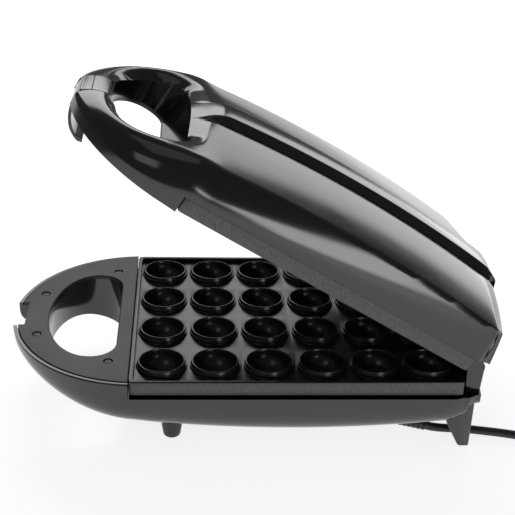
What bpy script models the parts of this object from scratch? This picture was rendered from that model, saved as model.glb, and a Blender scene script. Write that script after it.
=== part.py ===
"""Hinged countertop baking maker with a 24-cup plate, a lid with a matching cup plate and a mains cord.

The lid is modelled shut, hangs on an empty on the hinge axis, and is turned open by OPEN_ANGLE.
Plate frame: y = 0 is the middle of the cup grid, -Y is the handle end, z = 0 is the cups' rim.
"""
import math

import bmesh
import bpy
from mathutils import Matrix, Vector

MM = 0.001

# Overall layout
OPEN_ANGLE = math.radians(30.9)
ORIGIN_Y = 24.0 * MM            # grid centre behind the middle of the whole open object
RIM_HEIGHT = 58.5 * MM          # cup rims above the table
GAP = 0.3 * MM                  # between pieces that touch

# Cup grid and plates
CUPS_ALONG = 6
CUPS_ACROSS = 4
PITCH_ALONG = 36.0 * MM
PITCH_ACROSS = 44.8 * MM
CUP_SIDES = 12
CUP_RIM_RADIUS = 16.0 * MM
CUP_WALL = 1.4 * MM
CUP_DEPTH = 14.7 * MM
LIP_RADIUS = 16.8 * MM
LIP_DROP = 2.9 * MM
RIM_GAP = 0.3 * MM              # each rim stops this far short of the parting plane
FLOOR_DROP = 5.2 * MM           # plate floor below the rims
BORDER_DROP = 2.0 * MM
BORDER_WIDTH = 3.0 * MM
PLATE_BASE_DROP = 12.0 * MM
PLATE_CORNER = 7.0 * MM
CUP_BUMP = 5.2 * MM             # cup bottoms below the plate's underside

# Base shell
SHELL_OVERHANG = 2.4 * MM       # shell outside the plate
WALL = 2.5 * MM
HANDLE_START = -107.0 * MM
HANDLE_REACH = 89.5 * MM        # from HANDLE_START to the tip
HANDLE_STEP = -111.6 * MM       # rear face of the handle block
HANDLE_TOP_DROP = 2.6 * MM
TRAY_DROP = 13.8 * MM
BELLY_DROP = 50.5 * MM
BELLY_RADIUS = 735.0 * MM
TIP_DEPTH = 12.0 * MM
CORNER_START = 110.0 * MM
CORNER_END = 123.5 * MM
CORNER_TAPER = 6.0 * MM
REAR_BULGE = 5.5 * MM
TUB_REAR = 115.0 * MM
LEDGE_DROP = 25.0 * MM
COVER_THICKNESS = 2.4 * MM
COVER_RIM = 3.0 * MM            # shell left outside the cover
HANDLE_WALL = 9.0 * MM          # outer wall of a handle, beside its hollow
LID_COVER_RIM = 5.0 * MM        # the same under the lid's handle

# Hand hole
HOLE_HALF_WIDTH = 59.0 * MM
HOLE_CENTRE = -136.0 * MM
HOLE_REACH = 35.5 * MM
HOLE_BACK = 14.5 * MM
HOLE_CORNER = 13.0 * MM
LID_HOLE_DRAFT = ((-20.0, -3.5), (4.0, -3.5), (30.0, 1.5), (80.0, 1.5))     # height, growth

# Lid
LID_SIDE_DROP = 1.3 * MM        # lid shell outside the plate
LID_SKIRT = 12.6 * MM
SIDE_LOW = 11.4 * MM            # height where the sides start, trimmed off at the skirt
LID_HANDLE_FLOOR = 1.2 * MM
LID_HANDLE_REACH = 86.0 * MM
CREASE_HALF_WIDTH = 86.6 * MM
CREASE_TAPER = 0.03
CREASE_HEIGHT = 41.4 * MM
CROWN_RADIUS = 1000.0 * MM
CROWN_CENTRE = 15.0 * MM
SHOULDER_RISE = 7.4 * MM
PANEL_HALF_WIDTH = 12.5 * MM
PANEL_EDGE = 3.5 * MM
PANEL_STEP = 4.4 * MM
PANEL_CROWN = 0.5 * MM
PANEL_FRONT = -118.0 * MM       # where the raised panel starts, just behind the hand hole
REAR_ROUND = 6.0 * MM           # the rear wall's lean at its corners
HANDLE_WAIST = 8.0 * MM         # height of the widest line of the lid's handle
HANDLE_CREST = 40.0 * MM        # height of the handle's crest at its root
HANDLE_FALL = 0.25              # fall of the crest per length, towards the tip
HANDLE_ROOT = -105.0 * MM
HANDLE_ROUND = 17.0 * MM        # width of its rounded outer side
HANDLE_TUCK = 1.2 * MM          # its lower edge, set in from the widest line
HOLE_ROUND = 12.0 * MM          # width of its rounded inner side
HOLE_SIDE_DROP = 8.0 * MM       # how far the hole's rim lies below the crest at the sides
HOLE_END_DROP = 1.0 * MM        # the same at the front and back
BLEND_START = -96.0 * MM        # the body's section turns into the handle's from here
BLEND_LENGTH = 28.0 * MM

# Hinge
HINGE_Y = 118.7 * MM
HINGE_Z = 5.0 * MM
BARREL_RADIUS = 6.0 * MM
PIN_RADIUS = 2.5 * MM
TOWER_INNER = 62.0 * MM
TOWER_OUTER = 85.5 * MM
KNUCKLE_WIDTH = 20.0 * MM

# Latch
LATCH_HALF_WIDTH = 15.0 * MM
LATCH_THICKNESS = 2.2 * MM
LATCH_PIVOT = (-181.0 * MM, 11.0 * MM)
LATCH_PIN_RADIUS = 1.5 * MM
LATCH_BARREL = 3.4 * MM
LATCH_TOP = (-172.6, -176.0, -180.0, -184.0, -187.5, -190.4)
LATCH_TAB = ((-191.4, 5.0), (-190.7, -1.0), (-188.2, -7.8), (-184.5, -13.4), (-180.2, -17.0),
             (-175.6, -19.3))
LATCH_HOOK = ((-171.9, -18.6), (-172.6, -16.6))

# Heating parts
ROD_RADIUS = 3.3 * MM
ROD_REACH = 96.0 * MM        # rod ends, towards the hinge
ROD_TURN = 72.0 * MM         # cross run between the front cup rows
REFLECTOR_DROP = 25.0 * MM
REFLECTOR_HALF = (82.0 * MM, 98.0 * MM)
SHEET = 1.0 * MM
PLATE_SCREW_Y = 36.0 * MM
PLATE_SCREW_RADIUS = 2.0 * MM

# Feet
FOOT_PLACE = (69.0 * MM, -83.0 * MM)
FOOT_RADII = (8.4 * MM, 6.0 * MM)
LEG_CENTRE = 79.0 * MM
LEG_WIDTH = 10.0 * MM
LEG_FRONT = ((103.0, -30.0), (104.5, -41.0))
LEG_FOOT = (113.5, 121.0)       # y of the leg's lower end, front and rear
LEG_REAR = (121.5, -20.0)

# Cord
CORD_RADIUS = 3.0 * MM
GLAND_START = (66.0 * MM, 60.7 * MM, -43.2 * MM)
GLAND_SLOPE = math.radians(18.0)
GLAND_LENGTH = 34.0 * MM
GLAND_RADII = (5.0 * MM, 3.7 * MM)

BLACK_GLOSS = ("black_gloss_plastic", (0.012, 0.012, 0.013, 1.0), 0.16, 0.0)
BLACK_SATIN = ("black_satin_plastic", (0.020, 0.020, 0.021, 1.0), 0.42, 0.0)
CAST_COATED = ("coated_cast_plate", (0.028, 0.028, 0.030, 1.0), 0.36, 0.3)
RUBBER = ("foot_rubber", (0.018, 0.018, 0.018, 1.0), 0.75, 0.0)
STEEL = ("bright_steel", (0.55, 0.55, 0.56, 1.0), 0.32, 1.0)
SHEET_METAL = ("aluminised_sheet", (0.62, 0.62, 0.63, 1.0), 0.40, 1.0)
ELEMENT = ("heater_sheath", (0.20, 0.19, 0.18, 1.0), 0.5, 1.0)
CERAMIC = ("ceramic_body", (0.80, 0.78, 0.72, 1.0), 0.6, 0.0)
CORD_SKIN = ("cord_sheath", (0.020, 0.020, 0.022, 1.0), 0.5, 0.0)
BRASS = ("plug_pin_brass", (0.70, 0.55, 0.25, 1.0), 0.3, 1.0)
PAPER = ("plain_sticker", (0.78, 0.77, 0.74, 1.0), 0.55, 0.0)

GRID_HALF_X = CUPS_ACROSS * PITCH_ACROSS / 2
GRID_HALF_Y = CUPS_ALONG * PITCH_ALONG / 2
PLATE_HALF_X = GRID_HALF_X + BORDER_WIDTH
PLATE_HALF_Y = GRID_HALF_Y + BORDER_WIDTH
BASE_HALF = PLATE_HALF_X + SHELL_OVERHANG
LID_HALF = PLATE_HALF_X + LID_SIDE_DROP
REAR_TIP = CORNER_END + REAR_BULGE


# ---------------------------------------------------------------- scene and mesh helpers

def clear_scene():
    for item in list(bpy.data.objects):
        bpy.data.objects.remove(item, do_unlink=True)


def finish_of(spec):
    name, colour, roughness, metallic = spec
    made = bpy.data.materials.get(name)
    if made is None:
        made = bpy.data.materials.new(name)
        made.use_nodes = True
        shader = made.node_tree.nodes["Principled BSDF"]
        shader.inputs["Base Color"].default_value = colour
        shader.inputs["Roughness"].default_value = roughness
        shader.inputs["Metallic"].default_value = metallic
    return made


def empty(name, place, parent=None, turn=0.0):
    made = bpy.data.objects.new(name, None)
    bpy.context.scene.collection.objects.link(made)
    made.location = place
    made.rotation_euler = (turn, 0.0, 0.0)
    made.parent = parent
    return made


def add_object(name, mesh_or_bm, spec, parent, shift=(0.0, 0.0, 0.0), sharp=35.0):
    """Links a finished bmesh; shift moves plate-frame points into the parent's own frame."""
    mesh = bpy.data.meshes.new(name)
    bmesh.ops.translate(mesh_or_bm, verts=mesh_or_bm.verts, vec=Vector(shift))
    bmesh.ops.recalc_face_normals(mesh_or_bm, faces=mesh_or_bm.faces)
    mesh_or_bm.to_mesh(mesh)
    mesh_or_bm.free()
    mesh.shade_smooth()
    mesh.set_sharp_from_angle(angle=math.radians(sharp))
    mesh.materials.append(finish_of(spec))
    made = bpy.data.objects.new(name, mesh)
    bpy.context.scene.collection.objects.link(made)
    made.parent = parent
    return made


def cutter(name, bm, parent, shift=(0.0, 0.0, 0.0)):
    made = add_object(name, bm, BLACK_SATIN, parent, shift)
    made.hide_render = True
    made.display_type = 'WIRE'
    return made


def boolean(target, other, operation='DIFFERENCE'):
    step = target.modifiers.new(other.name, 'BOOLEAN')
    step.operation = operation
    step.object = other
    step.solver = 'EXACT'


def cut_together(target, others):
    """All the cutters in one exact step, so no rounding builds up between them."""
    label = target.name + "_cuts"
    group = bpy.data.collections.new(label)
    for other in others:
        group.objects.link(other)
    step = target.modifiers.new(label, 'BOOLEAN')
    step.operation = 'DIFFERENCE'
    step.operand_type = 'COLLECTION'
    step.collection = group
    step.solver = 'EXACT'


def loft(sections):
    """Closed skin through rings of equal count, with flat caps at both ends."""
    bm = bmesh.new()
    rings = [[bm.verts.new(point) for point in ring] for ring in sections]
    for lower, upper in zip(rings, rings[1:]):
        count = len(lower)
        for i in range(count):
            j = (i + 1) % count
            bm.faces.new((lower[i], lower[j], upper[j], upper[i]))
    bm.faces.new(list(reversed(rings[0])))
    bm.faces.new(rings[-1])
    return bm


def prism(outline, low, high, axis='z'):
    """Straight extrusion of an outline; axis x takes outline points as (y, z)."""
    if axis == 'z':
        return loft([[(a, b, h) for a, b in outline] for h in (low, high)])
    return loft([[(h, a, b) for a, b in outline] for h in (low, high)])


def box(low, high):
    return prism([(low[0], low[1]), (high[0], low[1]), (high[0], high[1]), (low[0], high[1])],
                 low[2], high[2])


def turned(profile, centre, sides=16, axis='z'):
    """Solid of revolution through (radius, height) points, capped flat at both ends."""
    cx, cy, cz = centre
    rings = []
    for radius, height in profile:
        ring = []
        for i in range(sides):
            angle = 2 * math.pi * i / sides
            a, b = radius * math.cos(angle), radius * math.sin(angle)
            if axis == 'z':
                ring.append((cx + a, cy + b, cz + height))
            elif axis == 'x':
                ring.append((cx + height, cy + a, cz + b))
            else:
                ring.append((cx + a, cy + height, cz + b))
        rings.append(ring)
    return loft(rings)


def arc(centre, radius, start, end, steps):
    points = []
    for i in range(steps + 1):
        angle = math.radians(start + (end - start) * i / steps)
        points.append((centre[0] + radius * math.cos(angle), centre[1] + radius * math.sin(angle)))
    return points


def rounded_rectangle(half_x, half_y, corner, steps=3):
    outline = []
    for sx, sy, start in ((1, 1, 0), (-1, 1, 90), (-1, -1, 180), (1, -1, 270)):
        centre = (sx * (half_x - corner), sy * (half_y - corner))
        outline += arc(centre, corner, start, start + 90, steps)
    return outline


def catmull(points, per_span):
    """Smooth curve through the given points."""
    ends = [points[0]] + list(points) + [points[-1]]
    curve = []
    for p0, p1, p2, p3 in zip(ends, ends[1:], ends[2:], ends[3:]):
        for i in range(per_span):
            t = i / per_span
            curve.append(tuple(
                0.5 * (2 * b + (c - a) * t + (2 * a - 5 * b + 4 * c - d) * t * t
                       + (3 * b - a - 3 * c + d) * t ** 3)
                for a, b, c, d in zip(p0, p1, p2, p3)))
    curve.append(tuple(points[-1]))
    return curve


def tube(name, points, radius, spec, parent, resolution=2):
    """Round tube along a polyline, with filled ends."""
    data = bpy.data.curves.new(name, 'CURVE')
    data.dimensions = '3D'
    data.bevel_depth = radius
    data.bevel_resolution = resolution
    data.use_fill_caps = True
    line = data.splines.new('POLY')
    line.points.add(len(points) - 1)
    for slot, point in zip(line.points, points):
        slot.co = (*point, 1.0)
    data.materials.append(finish_of(spec))
    made = bpy.data.objects.new(name, data)
    bpy.context.scene.collection.objects.link(made)
    made.parent = parent
    return made


# ---------------------------------------------------------------- plates

def cell_boundary(cx, cy):
    """Twelve points round one cup's cell, shared with the neighbouring cells."""
    hx, hy = PITCH_ACROSS / 2, PITCH_ALONG / 2
    points = []
    for sx, sy, dx, dy in ((1, -1, 0, 1), (1, 1, -1, 0), (-1, 1, 0, -1), (-1, -1, 1, 0)):
        for third in (0, 1, 2):
            points.append((cx + sx * hx + dx * 2 * hx * third / 3,
                           cy + sy * hy + dy * 2 * hy * third / 3))
    return points


def cup_circle(cx, cy, radius):
    return [(cx + radius * math.cos(math.radians(a)), cy + radius * math.sin(math.radians(a)))
            for a in (-45 + 30 * i for i in range(CUP_SIDES))]


def skin_cell(bm, seen, centre, boundary_z, rings, bottom_z):
    """One cell of a plate skin: flat ground, then rings of (radius, z) and a centre point."""
    cx, cy = centre

    def vertex(x, y, z):
        key = (round(x * 1e6), round(y * 1e6), round(z * 1e6))
        if key not in seen:
            seen[key] = bm.verts.new((x, y, z))
        return seen[key]

    last = [vertex(x, y, boundary_z) for x, y in cell_boundary(cx, cy)]
    for radius, z in rings:
        ring = [bm.verts.new((x, y, z)) for x, y in cup_circle(cx, cy, radius)]
        for i in range(CUP_SIDES):
            j = (i + 1) % CUP_SIDES
            bm.faces.new((last[i], last[j], ring[j], ring[i]))
        last = ring
    tip = bm.verts.new((cx, cy, bottom_z))
    for i in range(CUP_SIDES):
        bm.faces.new((last[i], last[(i + 1) % CUP_SIDES], tip))


def cup_centres():
    for row in range(CUPS_ALONG):
        for column in range(CUPS_ACROSS):
            yield ((column - (CUPS_ACROSS - 1) / 2) * PITCH_ACROSS,
                   (row - (CUPS_ALONG - 1) / 2) * PITCH_ALONG)


def plate_body(face_rings, face_tip, back_rings, back_tip, flip):
    """Plate with a raised border; flip turns it face down for the lid."""
    sign = -1 if flip else 1
    bm = bmesh.new()
    face, back = {}, {}
    for centre in cup_centres():
        skin_cell(bm, face, centre, -sign * FLOOR_DROP, face_rings, face_tip)
        skin_cell(bm, back, centre, -sign * PLATE_BASE_DROP, back_rings, back_tip)

    def rim(seen, z):
        """The grid's outer vertices at one height, in order round the plate."""
        hx, hy = GRID_HALF_X, GRID_HALF_Y
        found = []
        for vertex in seen.values():
            x, y = vertex.co.x, vertex.co.y
            if abs(vertex.co.z - z) < 1e-6 and (abs(abs(x) - hx) < 1e-6 or abs(abs(y) - hy) < 1e-6):
                found.append(vertex)
        return sorted(found, key=lambda v: math.atan2(v.co.y / hy, v.co.x / hx))

    def ring_at(source, grow, z):
        made = []
        for vertex in source:
            x, y = vertex.co.x, vertex.co.y
            nx = (x / GRID_HALF_X) if abs(abs(x) - GRID_HALF_X) < 1e-6 else 0.0
            ny = (y / GRID_HALF_Y) if abs(abs(y) - GRID_HALF_Y) < 1e-6 else 0.0
            pull = 0.62 if nx and ny and grow > 0 else 1.0
            made.append(bm.verts.new((x + nx * grow * pull, y + ny * grow * pull, z)))
        return made

    inner = rim(face, -sign * FLOOR_DROP)
    outer_back = rim(back, -sign * PLATE_BASE_DROP)
    chain = [inner,
             ring_at(inner, 0.0, -sign * BORDER_DROP),
             ring_at(inner, BORDER_WIDTH, -sign * BORDER_DROP),
             ring_at(inner, BORDER_WIDTH, -sign * PLATE_BASE_DROP),
             outer_back]
    for first, second in zip(chain, chain[1:]):
        for i in range(len(first)):
            j = (i + 1) % len(first)
            bm.faces.new((first[i], first[j], second[j], second[i]))
    return bm


def build_plates(root, lid):
    inner = CUP_RIM_RADIUS - CUP_WALL
    for name, sign, parent, shift in (("lower_plate", 1, root, (0.0, 0.0, 0.0)),
                                      ("upper_plate", -1, lid, (0.0, -HINGE_Y, -HINGE_Z))):
        cup = ((LIP_RADIUS + 0.2 * MM, -FLOOR_DROP), (LIP_RADIUS, -LIP_DROP),
               (CUP_RIM_RADIUS, -RIM_GAP), (inner, -RIM_GAP), (inner * 0.86, -CUP_DEPTH * 0.52),
               (inner * 0.48, -CUP_DEPTH * 0.88))
        back = ((CUP_RIM_RADIUS - 2.0 * MM, -PLATE_BASE_DROP),)
        plate = plate_body([(r, sign * z) for r, z in cup], -sign * CUP_DEPTH,
                           [(r, sign * z) for r, z in back],
                           -sign * (PLATE_BASE_DROP + CUP_BUMP), sign < 0)
        add_object(name, plate, CAST_COATED, parent, shift)


# ---------------------------------------------------------------- base shell

def plan_half_width(y, half, reach):
    """Half width of a shell's outline at y: round handle, straight sides, tapered rear corners."""
    if y < HANDLE_START:
        t = min(1.0, (HANDLE_START - y) / reach)
        return half * math.sqrt(1 - t * t)
    if y <= CORNER_START:
        return half
    if y <= CORNER_END:
        return half - CORNER_TAPER * (y - CORNER_START) / (CORNER_END - CORNER_START)
    return (half - CORNER_TAPER) * math.sqrt(max(0.0, (REAR_TIP - y) / REAR_BULGE))


def handle_stations(reach, inset=0.0):
    """y values from the handle's tip to its root, closer together at the tip."""
    return [HANDLE_START - (reach - inset) * math.sin(math.radians(a))
            for a in (86, 80, 72, 62, 52, 42, 32, 22, 13)]


def belly(y):
    """Lowest height of the base shell at y."""
    if y < HANDLE_START:
        t = min(1.0, (HANDLE_START - y) / HANDLE_REACH)
        root_drop = BELLY_DROP - HANDLE_START ** 2 / (2 * BELLY_RADIUS) - HANDLE_TOP_DROP
        return -HANDLE_TOP_DROP - TIP_DEPTH - (root_drop - TIP_DEPTH) * (1 - t * t)
    return -BELLY_DROP + y * y / (2 * BELLY_RADIUS)


def base_section(y, half, low, exponent, top=-HANDLE_TOP_DROP, steps=8):
    """Bowl-shaped cross-section, flat on top."""
    ring = []
    for i in range(2 * steps + 1):
        angle = math.pi * i / (2 * steps)
        c, s = math.cos(angle), math.sin(angle)
        x = math.copysign(abs(c) ** (2 / exponent), c) * half
        ring.append((x, y, top - (top - low) * abs(s) ** (2 / exponent)))
    return ring


def base_solid(grow=0.0):
    """Outside of the base shell; grow makes it larger all round."""
    rings = []
    for y in handle_stations(HANDLE_REACH):
        t = (HANDLE_START - y) / HANDLE_REACH
        half = plan_half_width(y, BASE_HALF, HANDLE_REACH) + grow
        rings.append(base_section(y, half, belly(y) - grow, max(2.4, 4.7 - 2.6 * t)))
    for y in (-100 * MM, -60 * MM, -20 * MM, 20 * MM, 60 * MM, 95 * MM, 110 * MM):
        rings.append(base_section(y, plan_half_width(y, BASE_HALF, HANDLE_REACH) + grow,
                                  belly(y) - grow, 4.8))
    rear = TUB_REAR + grow
    rings.append(base_section(rear - 1.5 * MM, plan_half_width(TUB_REAR, BASE_HALF, HANDLE_REACH)
                              + grow, belly(TUB_REAR) + 2 * MM - grow, 4.8))
    rings.append(base_section(rear, plan_half_width(TUB_REAR, BASE_HALF, HANDLE_REACH) + grow,
                              belly(TUB_REAR) + 5 * MM - grow, 4.8))
    for y in (TUB_REAR + 0.6 * MM, CORNER_END, REAR_TIP - 4 * MM, REAR_TIP - 2 * MM,
              REAR_TIP - 0.7 * MM, REAR_TIP - 0.1 * MM):
        half = plan_half_width(y, BASE_HALF, HANDLE_REACH) + grow
        rings.append(base_section(y + grow, half, -LEDGE_DROP - grow, 9.0))
    return loft(rings)


def hole_outline(grow):
    """Hand hole in plan: straight at the back, round corners, a half ellipse in front."""
    half, reach = HOLE_HALF_WIDTH + grow, HOLE_REACH + grow
    back = HOLE_CENTRE + HOLE_BACK + grow
    corner = HOLE_CORNER + grow
    points = arc((half - corner, back - corner), corner, 0, 90, 4)
    points += arc((-half + corner, back - corner), corner, 90, 180, 4)
    for i in range(1, 12):
        angle = math.radians(180 + 180 * i / 12)
        points.append((half * math.cos(angle), HOLE_CENTRE + reach * math.sin(angle)))
    return points


def cover_outline(half, reach, rear):
    """Outline of a handle cover: half an ellipse with a straight rear edge."""
    points = [(half, rear)]
    for i in range(19):
        angle = math.radians(180 * i / 18)
        y = HANDLE_START - reach * math.sin(angle)
        if y < rear:
            points.append((half * math.cos(angle), y))
    points.append((-half, rear))
    return points


def handle_pocket(side, half, reach, low, high):
    """Hollow in one half of a handle, between its outer wall and the wall round the hand hole."""
    outer, inner = [], []
    for i in range(9):
        angle = math.radians(12 + 60 * i / 8)
        outer.append((side * (half - HANDLE_WALL) * math.cos(angle),
                      HANDLE_START - (reach - HANDLE_WALL) * math.sin(angle)))
        angle = math.radians(72 - 68 * i / 8)
        inner.append((side * (HOLE_HALF_WIDTH + 3 * MM) * math.cos(angle),
                      HOLE_CENTRE - (HOLE_REACH + 3 * MM) * math.sin(angle)))
    return prism(outer + inner, low, high)


SCREW_PLACES = ((29.6, -177.2), (65.7, -125.7), (-29.6, -177.2), (-65.7, -125.7))


def build_base_shell(root):
    shell = add_object("base_shell", base_solid(), BLACK_GLOSS, root)
    joins, cuts = [], []

    tray = box((-120 * MM, HANDLE_STEP, -TRAY_DROP), (120 * MM, 150 * MM, 20 * MM))
    cuts.append(cutter("cut_tray", tray, root))
    rings = []
    for y in (-102 * MM, -60 * MM, 0.0, 60 * MM, 100 * MM, TUB_REAR - WALL - 1 * MM):
        half = plan_half_width(y, BASE_HALF, HANDLE_REACH) - 2 * WALL
        rings.append(base_section(y, half, belly(y) + WALL + 1 * MM, 4.4, top=0.0, steps=5))
    cuts.append(cutter("cut_cavity", loft(rings), root))
    rim = COVER_RIM - GAP - 0.1 * MM
    recess = prism(cover_outline(BASE_HALF - rim, HANDLE_REACH - rim, HANDLE_STEP + 1 * MM),
                   -BORDER_DROP - COVER_THICKNESS - GAP, 10 * MM)
    cuts.append(cutter("cut_cover_recess", recess, root))
    cuts.append(cutter("cut_hand_hole", prism(hole_outline(0.0), -80 * MM, 20 * MM), root))
    for side, name in ((-1, "left"), (1, "right")):
        pocket = handle_pocket(side, BASE_HALF, HANDLE_REACH, -13 * MM, 5 * MM)
        cuts.append(cutter("cut_pocket_" + name, pocket, root))
    notch = cutter("cut_latch_notch", latch_notch(), root)
    cuts.append(notch)
    for index, (x, y) in enumerate(SCREW_PLACES):
        well = turned(((1.2 * MM, -10 * MM), (1.2 * MM, 0.0)), (x * MM, y * MM, 0.0), 8)
        cuts.append(cutter(f"cut_base_screw_{index}", well, root))
    cut_together(shell, cuts)

    bores = []
    for side, name in ((-1, "left"), (1, "right")):
        low, high = sorted((side * TOWER_INNER, side * TOWER_OUTER))
        profile = [(HINGE_Y + BARREL_RADIUS - 2 * MM, -TRAY_DROP - 2 * MM)]
        profile += arc((HINGE_Y, HINGE_Z), BARREL_RADIUS, -20, 200, 10)
        profile += [(HINGE_Y - BARREL_RADIUS + 1 * MM, -TRAY_DROP - 2 * MM)]
        joins.append(cutter("join_tower_" + name, prism(profile, low, high, 'x'), root))
        bore = turned(((PIN_RADIUS + GAP, -15 * MM), (PIN_RADIUS + GAP, 15 * MM)),
                      (side * (TOWER_INNER + 3 * MM), HINGE_Y, HINGE_Z), 16, 'x')
        bores.append(cutter("cut_pin_" + name, bore, root))
    for join in joins:
        boolean(shell, join, 'UNION')
    for bore in bores:
        boolean(shell, bore)
    return notch


def screw(name, place, head_z, parent, shift, up=1, spec=STEEL, radius=2.6 * MM, length=8 * MM):
    """Pan-head screw with its head on the side that up points to."""
    shank = 0.95 * MM
    profile = ((shank, -up * length), (shank, -up * 0.9 * MM), (radius, -up * 0.9 * MM),
               (radius, -up * 0.3 * MM), (radius * 0.7, 0.0))
    return add_object(name, turned(profile, (place[0], place[1], head_z), 10), spec, parent, shift)


def build_base_cover(root, notch):
    top = -BORDER_DROP
    rim = COVER_RIM + GAP
    outline = cover_outline(BASE_HALF - rim, HANDLE_REACH - rim, HANDLE_STEP)
    plate = prism(outline, top - COVER_THICKNESS, top)
    cover = add_object("base_handle_cover", plate, BLACK_SATIN, root)
    rounding = cover.modifiers.new("edge", 'BEVEL')
    rounding.width = 0.6 * MM
    rounding.segments = 1
    rounding.angle_limit = math.radians(60)
    hand_hole = prism(hole_outline(0.4 * MM), -20 * MM, 10 * MM)
    boolean(cover, cutter("cut_cover_hole", hand_hole, root))
    boolean(cover, notch)
    for index, (x, y) in enumerate(SCREW_PLACES):
        seat = turned(((1.4 * MM, -4 * MM), (1.4 * MM, -1.5 * MM), (3.1 * MM, -1.5 * MM),
                       (3.1 * MM, 1 * MM)), (x * MM, y * MM, top), 10)
        boolean(cover, cutter(f"cut_cover_seat_{index}", seat, root))
        screw(f"base_cover_screw_{index + 1}", (x * MM, y * MM), top - 0.3 * MM, root,
              (0.0, 0.0, 0.0), spec=BLACK_SATIN, length=6.5 * MM)


# ---------------------------------------------------------------- lid shell

def crown(y):
    """How far the lid's top has dropped from its highest line."""
    return (y - CROWN_CENTRE) ** 2 / (2 * CROWN_RADIUS)


def smooth(value):
    value = min(1.0, max(0.0, value))
    return value * value * (3 - 2 * value)


def body_height(x, y):
    """Top of the lid over the plates: steep side, soft crease, sloping shoulder, raised panel."""
    half = plan_half_width(y, LID_HALF, LID_HANDLE_REACH) if y > HANDLE_START else LID_HALF
    crease = (CREASE_HALF_WIDTH + CREASE_TAPER * y) * half / LID_HALF
    edge = CREASE_HEIGHT - crown(y)
    if x >= crease:
        share = max(0.0, (half - x) / (half - crease))
        return SIDE_LOW + (edge - SIDE_LOW) * share ** 0.8
    rise = SHOULDER_RISE * (crease - x) / (crease - PANEL_HALF_WIDTH)
    step = PANEL_STEP * smooth((PANEL_HALF_WIDTH + PANEL_EDGE - x) / PANEL_EDGE)
    fade = smooth((y - PANEL_FRONT) / (10 * MM))
    dome = PANEL_CROWN * max(0.0, 1 - (x / PANEL_HALF_WIDTH) ** 2)
    return edge + rise + (step + dome) * fade


def hole_distance(x, y):
    """Distance outside the hand hole's outline, negative inside it."""
    if y > HOLE_CENTRE:
        dx = x - HOLE_HALF_WIDTH + HOLE_CORNER
        dy = y - HOLE_CENTRE - HOLE_BACK + HOLE_CORNER
        return math.hypot(max(dx, 0.0), max(dy, 0.0)) + min(max(dx, dy), 0.0) - HOLE_CORNER
    ex, ey = x / HOLE_HALF_WIDTH, (y - HOLE_CENTRE) / HOLE_REACH
    size = math.hypot(ex, ey)
    slope = math.hypot(ex / HOLE_HALF_WIDTH, ey / HOLE_REACH)
    return (size - 1) * size / slope if slope else -HOLE_REACH


def handle_height(x, y):
    """Top of the lid's handle: a rounded ring round the hand hole, falling towards its tip."""
    crest = HANDLE_CREST + HANDLE_FALL * (y - HANDLE_ROOT)
    t = max(0.0, (HANDLE_START - y) / LID_HANDLE_REACH)
    inward = max(0.0, (1 - math.hypot(x / LID_HALF, t)) * LID_HANDLE_REACH)
    outer = (1 - (1 - min(1.0, inward / HANDLE_ROUND)) ** 2.2) ** (1 / 2.2)
    near = 1 - min(1.0, max(0.0, hole_distance(x, y) / HOLE_ROUND))
    side = smooth(x / HOLE_HALF_WIDTH)
    drop = HOLE_END_DROP + (HOLE_SIDE_DROP - HOLE_END_DROP) * side
    return HANDLE_WAIST + (crest - HANDLE_WAIST) * outer - drop * (1 - math.sqrt(1 - near ** 2))


def lid_height(x, y):
    blend = smooth((BLEND_START - y) / BLEND_LENGTH)
    if blend <= 0:
        return body_height(x, y)
    return handle_height(x, y) * blend + body_height(x, y) * (1 - blend)


LID_SHARES = (1.0, 0.985, 0.96, 0.93, 0.89, 0.83, 0.74, 0.62, 0.48, 0.34, 0.18, 0.155, 0.13, 0.0)


def lid_section(y, inset=0.0, floor=LID_HANDLE_FLOOR):
    """Closed ring at y: over the top from side to side, then back along the flat floor."""
    half = plan_half_width(y, LID_HALF, LID_HANDLE_REACH)
    right = []
    for share in LID_SHARES:
        right.append((max(0.0, half * share - inset), lid_height(half * share, y) - inset))
    ring = [(x, y, z) for x, z in right] + [(-x, y, z) for x, z in reversed(right[:-1])]
    lower = min(floor, right[0][1] - 1 * MM)
    tuck = HANDLE_TUCK if y < HANDLE_STEP else 0.0
    ring += [(-right[0][0] + tuck, y, lower), (right[0][0] - tuck, y, lower)]
    return ring


def lean(point):
    """Leans the rear wall's corners forward towards their top edge."""
    x, y, z = point
    back = smooth((y - CORNER_START) / (CORNER_END - CORNER_START))
    up = min(1.0, max(0.0, (z - LID_SKIRT) / (22 * MM)))
    return (x, y - REAR_ROUND * back * up * (x / LID_HALF) ** 2, z)


REAR_RINGS = ((CORNER_END - 4 * MM, 0.5 * MM, 46.5 * MM), (CORNER_END, 1.5 * MM, 45.0 * MM),
              (REAR_TIP - 3.5 * MM, 2.5 * MM, 44.0 * MM), (REAR_TIP - 1.5 * MM, 4.0 * MM, 42.8 * MM),
              (REAR_TIP - 0.3 * MM, 6.0 * MM, 40.5 * MM))


def lid_solid():
    rings = [lid_section(y) for y in handle_stations(LID_HANDLE_REACH)]
    for y in (-118, -110, -102, -94, -84, -60, -30, 0, 30, 60, 90, 108):
        rings.append(lid_section(y * MM))
    for y, drop, cap in REAR_RINGS:
        ring = lid_section(y)
        rings.append([lean((x, y, min(z - drop, cap) if z > SIDE_LOW else z)) for x, _, z in ring])
    return loft(rings)


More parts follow.
